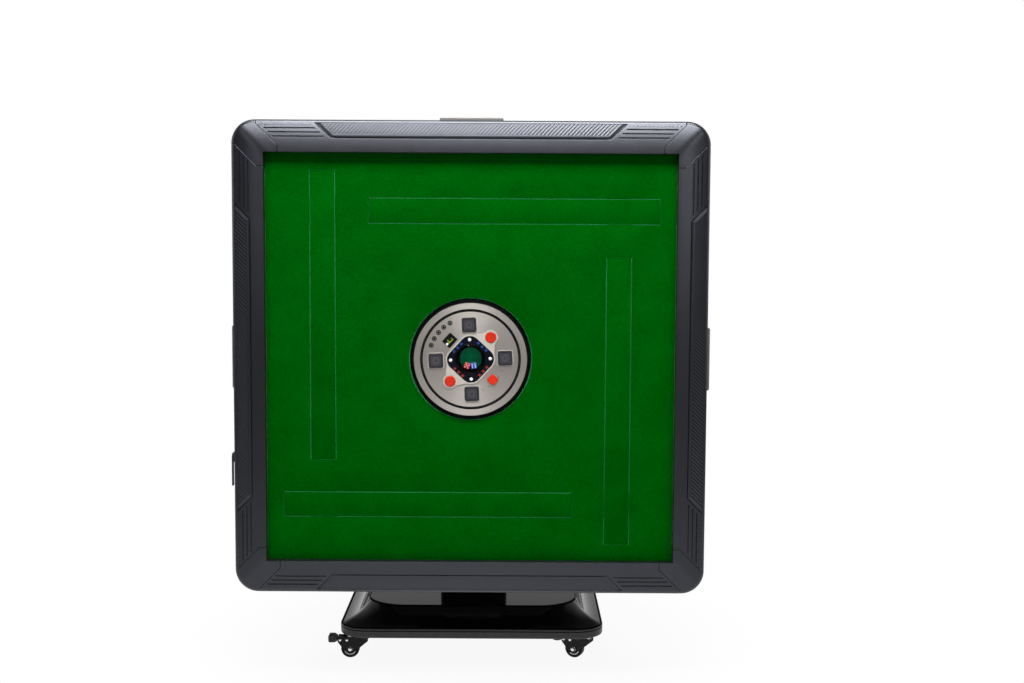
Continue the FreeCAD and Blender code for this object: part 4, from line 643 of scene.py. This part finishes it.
champagne = finish("brushed_champagne", (0.68, 0.62, 0.575), 0.48, 0.8, Anisotropic=0.7, Anisotropic_Rotation=0.25)
feed(champagne, "Tangent", node(champagne, "Tangent", direction_type="RADIAL", axis="Y").outputs["Tangent"])
across = spot_on(champagne, CONSOLE_HEART, (1.0, 0.0, 1.0))
from_heart = node(champagne, "VectorMath", {0: across}, operation="LENGTH").outputs["Value"]
strokes = node(
    champagne, "TexNoise", {"W": from_heart, "Scale": 2600.0, "Detail": 4.0}, noise_dimensions="1D"
).outputs["Fac"]
tint(champagne, strokes, (0.25, (0.50, 0.455, 0.42)), (0.75, (0.86, 0.80, 0.75)))
dull(champagne, strokes, 0.38, 0.50)
emboss(champagne, strokes, 0.00006)
dress(champagne, "console_plate")

pearl = finish("pearl_plastic", (0.62, 0.58, 0.52), 0.22)
tint(pearl, speckle(pearl, 0.02), (0.3, (0.58, 0.54, 0.48)), (0.7, (0.66, 0.62, 0.56)))
dull(pearl, speckle(pearl, 0.006), 0.18, 0.28)
ease_edges(pearl, 0.0007)
dress(pearl, "console_trim")

housing_black = finish("housing_black", (0.003, 0.003, 0.003), 0.28, Specular_IOR_Level=0.08)
tint(housing_black, speckle(housing_black, 0.01), (0.3, (0.0025, 0.0025, 0.003)), (0.7, (0.006, 0.006, 0.006)))
dull(housing_black, speckle(housing_black, 0.006), 0.22, 0.36)
ease_edges(housing_black, 0.0008)
dress(housing_black, "console_housing", "dice_bowl")

bezel_navy = finish("bezel_navy", (0.006, 0.007, 0.013), 0.16, Specular_IOR_Level=0.3)
tint(bezel_navy, speckle(bezel_navy, 0.01), (0.3, (0.004, 0.005, 0.010)), (0.7, (0.009, 0.010, 0.018)))
dull(bezel_navy, speckle(bezel_navy, 0.008), 0.12, 0.22)
ease_edges(bezel_navy, 0.0006)
dress(bezel_navy, "dice_bezel")

# Groove between the console's plate and ring: a dull metal wire lies in the middle of the black housing.
# A black collar of the housing laps over the ring's outer edge.
wire_grey = finish("wire_grey", (0.16, 0.16, 0.16), 0.4, 1.0)
tint(wire_grey, speckle(wire_grey, 0.004), (0.3, (0.12, 0.12, 0.12)), (0.7, (0.20, 0.20, 0.20)))
dull(wire_grey, speckle(wire_grey, 0.003), 0.35, 0.5)
WIRE_SECTION = [(0.1004, -0.0150), (0.1005, -0.0146), (0.1010, -0.0146), (0.1011, -0.0150)]
groove_wires = bmesh.new()
turn_profile(groove_wires, WIRE_SECTION, steps=160)
make("groove_wires", groove_wires, "console", "chrome", wire_grey, place=CONSOLE)

COLLAR_SECTION = [
    (0.1160, PLATE_FRONT), (0.1162, -0.0116), (0.1170, -0.0115), (0.1176, -0.0118), (0.1178, -0.0140)
]
ring_collar = bmesh.new()
turn_profile(ring_collar, COLLAR_SECTION, steps=160)
make("ring_collar", ring_collar, "console", "machine_black", housing_black, place=CONSOLE)

# Seat buttons: square keys of dark grey rubbery plastic, each with a raised ring, five studs and a light
# sill. The two dice buttons, which carry a ring and a dot, and the mode button are orange.
key_grey = finish("key_grey", (0.052, 0.052, 0.062), 0.5, Specular_IOR_Level=0.3)
tint(key_grey, speckle(key_grey, 0.006), (0.3, (0.045, 0.045, 0.054)), (0.7, (0.059, 0.059, 0.070)))
dull(key_grey, speckle(key_grey, 0.003), 0.44, 0.58)
ease_edges(key_grey, 0.0006)
emboss(key_grey, speckle(key_grey, 0.0007), 0.00012)

mark_grey = finish("mark_grey", (0.11, 0.11, 0.12), 0.5, Specular_IOR_Level=0.3)
tint(mark_grey, speckle(mark_grey, 0.002), (0.3, (0.09, 0.09, 0.10)), (0.7, (0.13, 0.13, 0.14)))

# Black for the thin square line on each key: painted shade that stands for a groove round the key's face.
groove_shade_line = finish("groove_shade_line", (0.006, 0.006, 0.007), 0.6, Specular_IOR_Level=0.1)
tint(groove_shade_line, speckle(groove_shade_line, 0.002), (0.3, (0.004, 0.004, 0.005)), (0.7, (0.009, 0.009, 0.010)))

ivory = finish("ivory_sill", (0.72, 0.68, 0.60), 0.35)
tint(ivory, speckle(ivory, 0.004), (0.3, (0.66, 0.62, 0.54)), (0.7, (0.78, 0.74, 0.66)))
ease_edges(ivory, 0.0003)

orange = finish("orange_key", (0.85, 0.038, 0.008), 0.32)
tint(orange, speckle(orange, 0.006), (0.3, (0.80, 0.030, 0.006)), (0.7, (0.90, 0.047, 0.011)))
dull(orange, speckle(orange, 0.003), 0.26, 0.40)
ease_edges(orange, 0.0006)
emboss(orange, speckle(orange, 0.0008), 0.00005)

deep_orange = finish("deep_orange", (0.55, 0.020, 0.006), 0.4)
tint(deep_orange, speckle(deep_orange, 0.002), (0.3, (0.48, 0.016, 0.004)), (0.7, (0.62, 0.026, 0.008)))


def square_frame(shape, width, corner, rim, height, place):
    """A flat square frame with rounded corners, standing on the place's floor."""
    bmesh.ops.create_grid(shape, x_segments=1, y_segments=1, size=width / 2)
    bmesh.ops.bevel(
        shape, geom=shape.verts[:], offset=corner, segments=6, profile=0.5, affect="VERTICES", material=-1
    )
    bmesh.ops.inset_region(shape, faces=shape.faces[:], thickness=rim, use_boundary=True, use_even_offset=True)
    bmesh.ops.delete(shape, geom=[max(shape.faces, key=lambda face: face.calc_area())], context="FACES")
    top = bmesh.ops.extrude_face_region(shape, geom=shape.faces[:])["geom"]
    raised = [item for item in top if isinstance(item, bmesh.types.BMVert)]
    bmesh.ops.translate(shape, vec=(0, 0, height), verts=raised)
    bmesh.ops.transform(shape, matrix=place, verts=shape.verts[:])


SEAT_REACH, DICE_REACH = 0.071, 0.0615
KEY_RING = [(0.0056, 0.0), (0.0058, 0.0003), (0.0066, 0.0003), (0.0068, 0.0)]
CROWN_RING = [(0.0062, 0.0), (0.0064, 0.0003), (0.0076, 0.0003), (0.0078, 0.0)]
CROWN_DOT = [(0.0, 0.0003), (0.0021, 0.0003), (0.0023, 0.0)]
KEY_STUD = (0.0016, 0.0016, 0.0004)
STUD_REACH = 0.0036
ON_PLATE = Matrix.Translation((0.0, 0.0, PLATE_FRONT))
ON_BUTTON = Matrix.Translation((0.0, 0.0, BUTTON_FRONT))
for side, turn in SIDES.items():
    dress(key_grey, f"seat_button_{side}")
    above = CONSOLE @ Matrix.Rotation(math.radians(turn), 4, "Z") @ Matrix.Translation((0.0, SEAT_REACH, 0.0))
    sill = bmesh.new()
    square_frame(sill, width=0.0332, corner=0.0054, rim=0.0013, height=0.0005, place=ON_PLATE)
    make(f"seat_sill_{side}", sill, "console", "chrome", ivory, place=above)
    mark = bmesh.new()
    turn_profile(mark, KEY_RING, steps=40, place=ON_BUTTON)
    for stud in range(5):
        around_key = Matrix.Rotation(math.radians(72.0 * stud), 4, "Z")
        bar(mark, KEY_STUD, around_key @ Matrix.Translation((0.0, STUD_REACH, BUTTON_FRONT)), edge=0.0001)
    make(f"seat_mark_{side}", mark, f"seat_button_{side}", "seat_button", mark_grey, place=above)
    # Painted shade: a black square line on the key's face stands for the shadow in its groove.
    border = bmesh.new()
    square_frame(border, width=0.0250, corner=0.0034, rim=0.0010, height=0.00015, place=ON_BUTTON)
    make(f"seat_groove_shade_{side}", border, f"seat_button_{side}", "seat_button", groove_shade_line, place=above)

for side, turn in {"right": -45.0, "left": 135.0}.items():
    dress(orange, f"dice_button_{side}")
    above = CONSOLE @ Matrix.Rotation(math.radians(turn), 4, "Z") @ Matrix.Translation((0.0, DICE_REACH, 0.0))
    crown = bmesh.new()
    turn_profile(crown, CROWN_RING, steps=40, place=ON_BUTTON)
    turn_profile(crown, CROWN_DOT, steps=28, place=ON_BUTTON)
    make(f"dice_button_crown_{side}", crown, f"dice_button_{side}", "orange_button", deep_orange, place=above)
dress(orange, "mode_button")

# Marks on the plate: five dark printed discs above the display and four short strokes round the mode key.
# They are screen-printed, a hair above the metal.
print_black = finish("print_black", (0.006, 0.006, 0.006), 0.6, Specular_IOR_Level=0.1)
tint(print_black, speckle(print_black, 0.0015), (0.3, (0.004, 0.004, 0.004)), (0.75, (0.012, 0.012, 0.011)))
dull(print_black, speckle(print_black, 0.001), 0.5, 0.7)

DISC_REACH, STROKE_REACH = 0.0855, 0.068
DISC_ANGLES, STROKE_ANGLES = (117.0, 127.3, 137.5, 147.8, 158.0), (-22.0, -34.0, -58.0, -70.0)
DISC_HEART = [(0.0, 0.00012), (0.0024, 0.00012), (0.0024, 0.0)]
DISC_RING = [(0.0031, 0.0), (0.0031, 0.00012), (0.0050, 0.00012), (0.0050, 0.0)]
STROKE = (0.0030, 0.0009, 0.0002)
plate_print = bmesh.new()
for angle in DISC_ANGLES:
    out = Matrix.Rotation(math.radians(angle), 4, "Z") @ Matrix.Translation((DISC_REACH, 0.0, PLATE_FRONT))
    turn_profile(plate_print, DISC_HEART, steps=28, place=out)
    turn_profile(plate_print, DISC_RING, steps=28, place=out)
for angle in STROKE_ANGLES:
    out = Matrix.Rotation(math.radians(angle), 4, "Z") @ Matrix.Translation((STROKE_REACH, 0.0, PLATE_FRONT))
    bar(plate_print, STROKE, out, edge=0.00005, segments=1)
make("plate_print", plate_print, "console", "machine_black", print_black, place=CONSOLE)

# Display: a small dark window with lit bars and one white block, and four round lamps on the bezel.
# Three pairs of short printed bars lie along each side of the bezel, blue on the two upper sides, red on the
# others; their faint glow is painted light.
display_glass = finish("display_glass", (0.006, 0.007, 0.008), 0.12)
tint(display_glass, speckle(display_glass, 0.004), (0.3, (0.004, 0.005, 0.005)), (0.7, (0.012, 0.013, 0.014)))
dull(display_glass, speckle(display_glass, 0.01), 0.08, 0.18)
dress(display_glass, "display_window")


def glow(name, colour, strength):
    """Plastic given a glow, a little uneven; on the printed bezel bars the glow is painted light."""
    material = finish(name, colour, 0.4, Emission_Strength=strength)
    ramp = tint(material, speckle(material, 0.0012), (0.3, [0.75 * c for c in colour]), (0.7, colour))
    feed(material, "Emission Color", ramp.outputs["Color"])
    return material


lamp_white = glow("lamp_white", (0.90, 0.92, 0.95), 0.35)
lit_lime = glow("lit_lime", (0.42, 0.55, 0.03), 0.3)
# Printed bars on the bezel, with a faint glow that is painted light.
glowing_print_blue = glow("glowing_print_blue", (0.030, 0.085, 0.42), 0.1)
glowing_print_red = glow("glowing_print_red", (0.48, 0.035, 0.030), 0.1)

WINDOW_REACH = 0.0575
WINDOW = CONSOLE @ Matrix.Rotation(math.radians(45), 4, "Z") @ Matrix.Translation((0.0, WINDOW_REACH, PLATE_FRONT))
LIT_HEIGHT = 0.0003
LIT_BARS = (
    (-0.0005, -0.0030, 0.0150, 0.0012),
    (-0.0030, 0.0012, 0.0030, 0.0010),
    (-0.0030, 0.0032, 0.0030, 0.0010),
    (-0.0030, -0.0008, 0.0030, 0.0010),
    (0.0050, 0.0006, 0.0034, 0.0006),
)
lime_bars = bmesh.new()
for x, y, width, height in LIT_BARS:
    bar(lime_bars, (width, height, LIT_HEIGHT), Matrix.Translation((x, y, 0.0)), edge=0.0001, segments=1)
make("display_bars", lime_bars, "console", "display", lit_lime, place=WINDOW)
white_block = bmesh.new()
bar(white_block, (0.0042, 0.0046, LIT_HEIGHT), Matrix.Translation((-0.0092, -0.0012, 0.0)), edge=0.0001, segments=1)
make("display_block", white_block, "console", "display", lamp_white, place=WINDOW)

LAMP_REACH, BAR_REACH = 0.0407, 0.0356
LAMP_DOME = [(0.0, 0.0016), (0.0014, 0.0014), (0.0026, 0.0009), (0.0033, 0.0002), (0.0034, 0.0)]
BEZEL_BAR = (0.0054, 0.0017, 0.0002)
BAR_SPACING, PAIR_SHIFT = 0.0108, 0.0013
lamps = bmesh.new()
for turn in SIDES.values():
    out = Matrix.Rotation(math.radians(turn), 4, "Z") @ Matrix.Translation((0.0, LAMP_REACH, BEZEL_FRONT))
    turn_profile(lamps, LAMP_DOME, steps=28, place=out)
make("bezel_lamps", lamps, "console", "display", lamp_white, place=CONSOLE)

for name, material, turns in (("upper", glowing_print_blue, (45.0, -45.0)), ("lower", glowing_print_red, (135.0, -135.0))):
    bezel_bars = bmesh.new()
    for turn in turns:
        for along in (-BAR_SPACING, 0.0, BAR_SPACING):
            out = Matrix.Rotation(math.radians(turn), 4, "Z") @ Matrix.Translation((along, BAR_REACH, BEZEL_FRONT))
            for shift in (PAIR_SHIFT, -PAIR_SHIFT):
                bar(bezel_bars, BEZEL_BAR, out @ Matrix.Translation((0.0, shift, 0.0)), edge=0.00005, segments=1)
    make(f"bezel_bars_{name}", bezel_bars, "console", "display", material, place=CONSOLE)

# Dice bowl: a black cup with a turning platform under green felt, two dice and a clear cap over them.
# The dice are cast in red and in blue, with white spots.
# The felt's green is raised well above its own tone: painted light that makes up for the shade deep in the bowl.
felt = finish("bowl_felt", (0.004, 0.38, 0.15), 0.95, Specular_IOR_Level=0.0)
tint(felt, speckle(felt, 0.004, 4.0), (0.3, (0.003, 0.33, 0.125)), (0.7, (0.006, 0.44, 0.180)))
emboss(felt, speckle(felt, 0.0006, 4.0), 0.0004)
PLATFORM_TOP = -0.0337
FELT_SECTION = [(0.0, 0.00025), (0.0224, 0.00025), (0.0227, 0.00015), (0.0228, 0.0)]
felt_disc = bmesh.new()
turn_profile(felt_disc, FELT_SECTION, steps=72)
on_platform = CONSOLE @ Matrix.Translation((0.0, 0.0, PLATFORM_TOP))
make("platform_felt", felt_disc, "dice_platform", "bowl_felt", felt, place=on_platform)
dress(housing_black, "dice_platform")

cast_colour = finish("cast_dice", (0.45, 0.02, 0.02), 0.18)
side_of_bowl = node(cast_colour, "SeparateXYZ", {"Vector": spot_on(cast_colour)}).outputs["X"]
is_right = reckon(cast_colour, "GREATER_THAN", side_of_bowl, 0.0)
tint(cast_colour, is_right, (0.4, (0.72, 0.020, 0.024)), (0.6, (0.030, 0.12, 0.75)))
dull(cast_colour, speckle(cast_colour, 0.003), 0.14, 0.24)
ease_edges(cast_colour, 0.0005)
dress(cast_colour, "dice_pair")

spot_white = finish("spot_white", (0.88, 0.88, 0.86), 0.35)
tint(spot_white, speckle(spot_white, 0.001), (0.3, (0.82, 0.82, 0.80)), (0.7, (0.92, 0.92, 0.90)))
dice_spots = bmesh.new()
SPOT = [(0.0, 0.00015), (0.0012, 0.0001), (0.0013, -0.0001)]
SPOT_STEP, DIE_HALF = 0.0030, 0.0060
DICE_ROW, DICE_DEPTH = -0.0146, -0.0274
FIVE = ((-1, -1), (-1, 1), (0, 0), (1, -1), (1, 1))
SIX = ((-1, -1), (-1, 0), (-1, 1), (1, -1), (1, 0), (1, 1))
THREE = ((-1, -1), (0, 0), (1, 1))
for x, turn, front_spots in ((-0.0073, -24.0, FIVE), (0.0066, 8.0, SIX)):
    heart = Matrix.Translation((x, DICE_ROW, DICE_DEPTH)) @ Matrix.Rotation(math.radians(turn), 4, "Z")
    for spots, tilt in ((front_spots, None), (THREE, "X"), (THREE, "Y")):
        face = heart @ (Matrix.Rotation(math.radians(-90 if tilt == "X" else 90), 4, tilt) if tilt else Matrix())
        for across_face, up_face in spots:
            seat = face @ Matrix.Translation((SPOT_STEP * across_face, SPOT_STEP * up_face, DIE_HALF))
            turn_profile(dice_spots, SPOT, steps=16, place=seat)
make("dice_spots", dice_spots, "console", "dice", spot_white, place=PANEL)

clear_cap = finish("clear_cap", (0.02, 0.02, 0.02), 0.05, Alpha=0.03)
dull(clear_cap, speckle(clear_cap, 0.02), 0.03, 0.09)
dress(clear_cap, "dice_dome")

# Studio: a pale floor that keeps the shadow, a white surround with a low wall behind that shows in gloss,
# one broad soft lamp high in front, another overhead, and two weak strips at the sides.
FLOOR_HALF = 14.0
FILL = 0.05
CAMERA_PLACE = (0.085, -3.1985, 0.947)
CAMERA_DIP, CAMERA_ROLL = 4.72, 0.32


def fade(material, value, near, far, first=0.0, last=1.0, **settings):
    """Pass from one level to another between two values."""
    span = {"Value": value, "From Min": near, "From Max": far, "To Min": first, "To Max": last}
    return node(material, "MapRange", span, **settings).outputs["Result"]


floor_shape = bmesh.new()
bmesh.ops.create_grid(floor_shape, x_segments=1, y_segments=1, size=FLOOR_HALF)
floor_data = bpy.data.meshes.new("floor")
floor_shape.to_mesh(floor_data)
floor_shape.free()
floor = bpy.data.objects.new("floor", floor_data)
bpy.context.scene.collection.objects.link(floor)

pale_floor = finish("pale_floor", (0.50, 0.50, 0.50), 0.9, Specular_IOR_Level=0.0)
floor_data.materials.append(pale_floor)
from_base = spot_on(pale_floor, (*BASE_MIDDLE, 0.0))
away = node(pale_floor, "VectorMath", {0: from_base}, operation="LENGTH").outputs["Value"]
far_off = fade(pale_floor, away, 0.30, 0.75, 0.93, 1.0, interpolation_type="SMOOTHSTEP")
near_by = fade(pale_floor, away, 0.2, 0.9, 1.0, 0.0, interpolation_type="SMOOTHSTEP")
white = node(pale_floor, "Emission", {"Color": (1, 1, 1, 1), "Strength": 1.0})
ray = node(pale_floor, "LightPath").outputs
seen = reckon(pale_floor, "MULTIPLY", far_off, ray["Is Camera Ray"])
mirrored_floor = reckon(pale_floor, "MULTIPLY", near_by, ray["Is Glossy Ray"])
whiteness = reckon(pale_floor, "ADD", seen, mirrored_floor)
matt = pale_floor.node_tree.nodes["Principled BSDF"]
blend_floor = node(pale_floor, "MixShader", {0: whiteness, 1: matt.outputs[0], 2: white.outputs[0]})
surface = pale_floor.node_tree.nodes["Material Output"].inputs["Surface"]
pale_floor.node_tree.links.new(blend_floor.outputs[0], surface)

surround = bpy.data.worlds.new("surround")
bpy.context.scene.world = surround
surround.use_nodes = True
sky = surround.node_tree.nodes["Background"]
direction = node(surround, "SeparateXYZ", {"Vector": node(surround, "TexCoord").outputs["Generated"]}).outputs
ray = node(surround, "LightPath").outputs
behind = fade(surround, direction["Y"], -0.15, 0.10)
low_wall = fade(surround, direction["Z"], 0.05, 0.36, 1.0, 0.02)
sideways = reckon(surround, "ABSOLUTE", direction["X"])
wing = fade(surround, sideways, 0.20, 0.60, 0.0, 0.5)
high_wall = fade(surround, direction["Z"], 0.25, 0.80, 1.0, 0.0)
wing_wall = reckon(surround, "MULTIPLY", wing, high_wall)
wall = reckon(surround, "MAXIMUM", low_wall, wing_wall)
backdrop = reckon(surround, "MULTIPLY", behind, wall)
mirrored_wall = reckon(surround, "MULTIPLY", backdrop, ray["Is Glossy Ray"])
studio = reckon(surround, "MAXIMUM", mirrored_wall, FILL)
level = reckon(surround, "MAXIMUM", studio, ray["Is Camera Ray"])
open_view = reckon(surround, "MAXIMUM", level, ray["Is Transmission Ray"])
surround.node_tree.links.new(open_view, sky.inputs["Strength"])
sky.inputs["Color"].default_value = (1.0, 1.0, 1.0, 1.0)


def softbox(name, place, aim, size, power):
    """A broad lamp turned to a point."""
    lamp = bpy.data.lights.new(name, "AREA")
    lamp.shape = "RECTANGLE"
    lamp.size, lamp.size_y = size
    lamp.energy = power
    holder = bpy.data.objects.new(name, lamp)
    holder.location = place
    holder.rotation_euler = (Vector(aim) - Vector(place)).to_track_quat("-Z", "Y").to_euler()
    holder.visible_camera = False
    bpy.context.scene.collection.objects.link(holder)


softbox("key", place=(0.0, -1.35, 2.75), aim=(0.0, -0.3, 0.75), size=(1.8, 0.8), power=79.0)
softbox("overhead", place=(0.0, 0.0, 2.9), aim=(0.0, 0.0, 0.6), size=(1.6, 1.0), power=66.0)
softbox("left_strip", place=(-1.6, -1.93, 1.45), aim=(-0.45, -0.3, 0.95), size=(0.35, 1.4), power=2.2)
softbox("right_strip", place=(1.6, -1.93, 1.45), aim=(0.45, -0.3, 0.95), size=(0.35, 1.4), power=4.4)

lens = bpy.data.cameras.new("view")
lens.lens = 50.0
lens.sensor_width = 36.0
viewpoint = bpy.data.objects.new("view", lens)
viewpoint.location = CAMERA_PLACE
pitch = Matrix.Rotation(math.radians(90.0 - CAMERA_DIP), 4, "X")
viewpoint.rotation_euler = (pitch @ Matrix.Rotation(math.radians(CAMERA_ROLL), 4, "Z")).to_euler()
bpy.context.scene.collection.objects.link(viewpoint)
bpy.context.scene.camera = viewpoint
bpy.context.scene.view_settings.view_transform = "Standard"
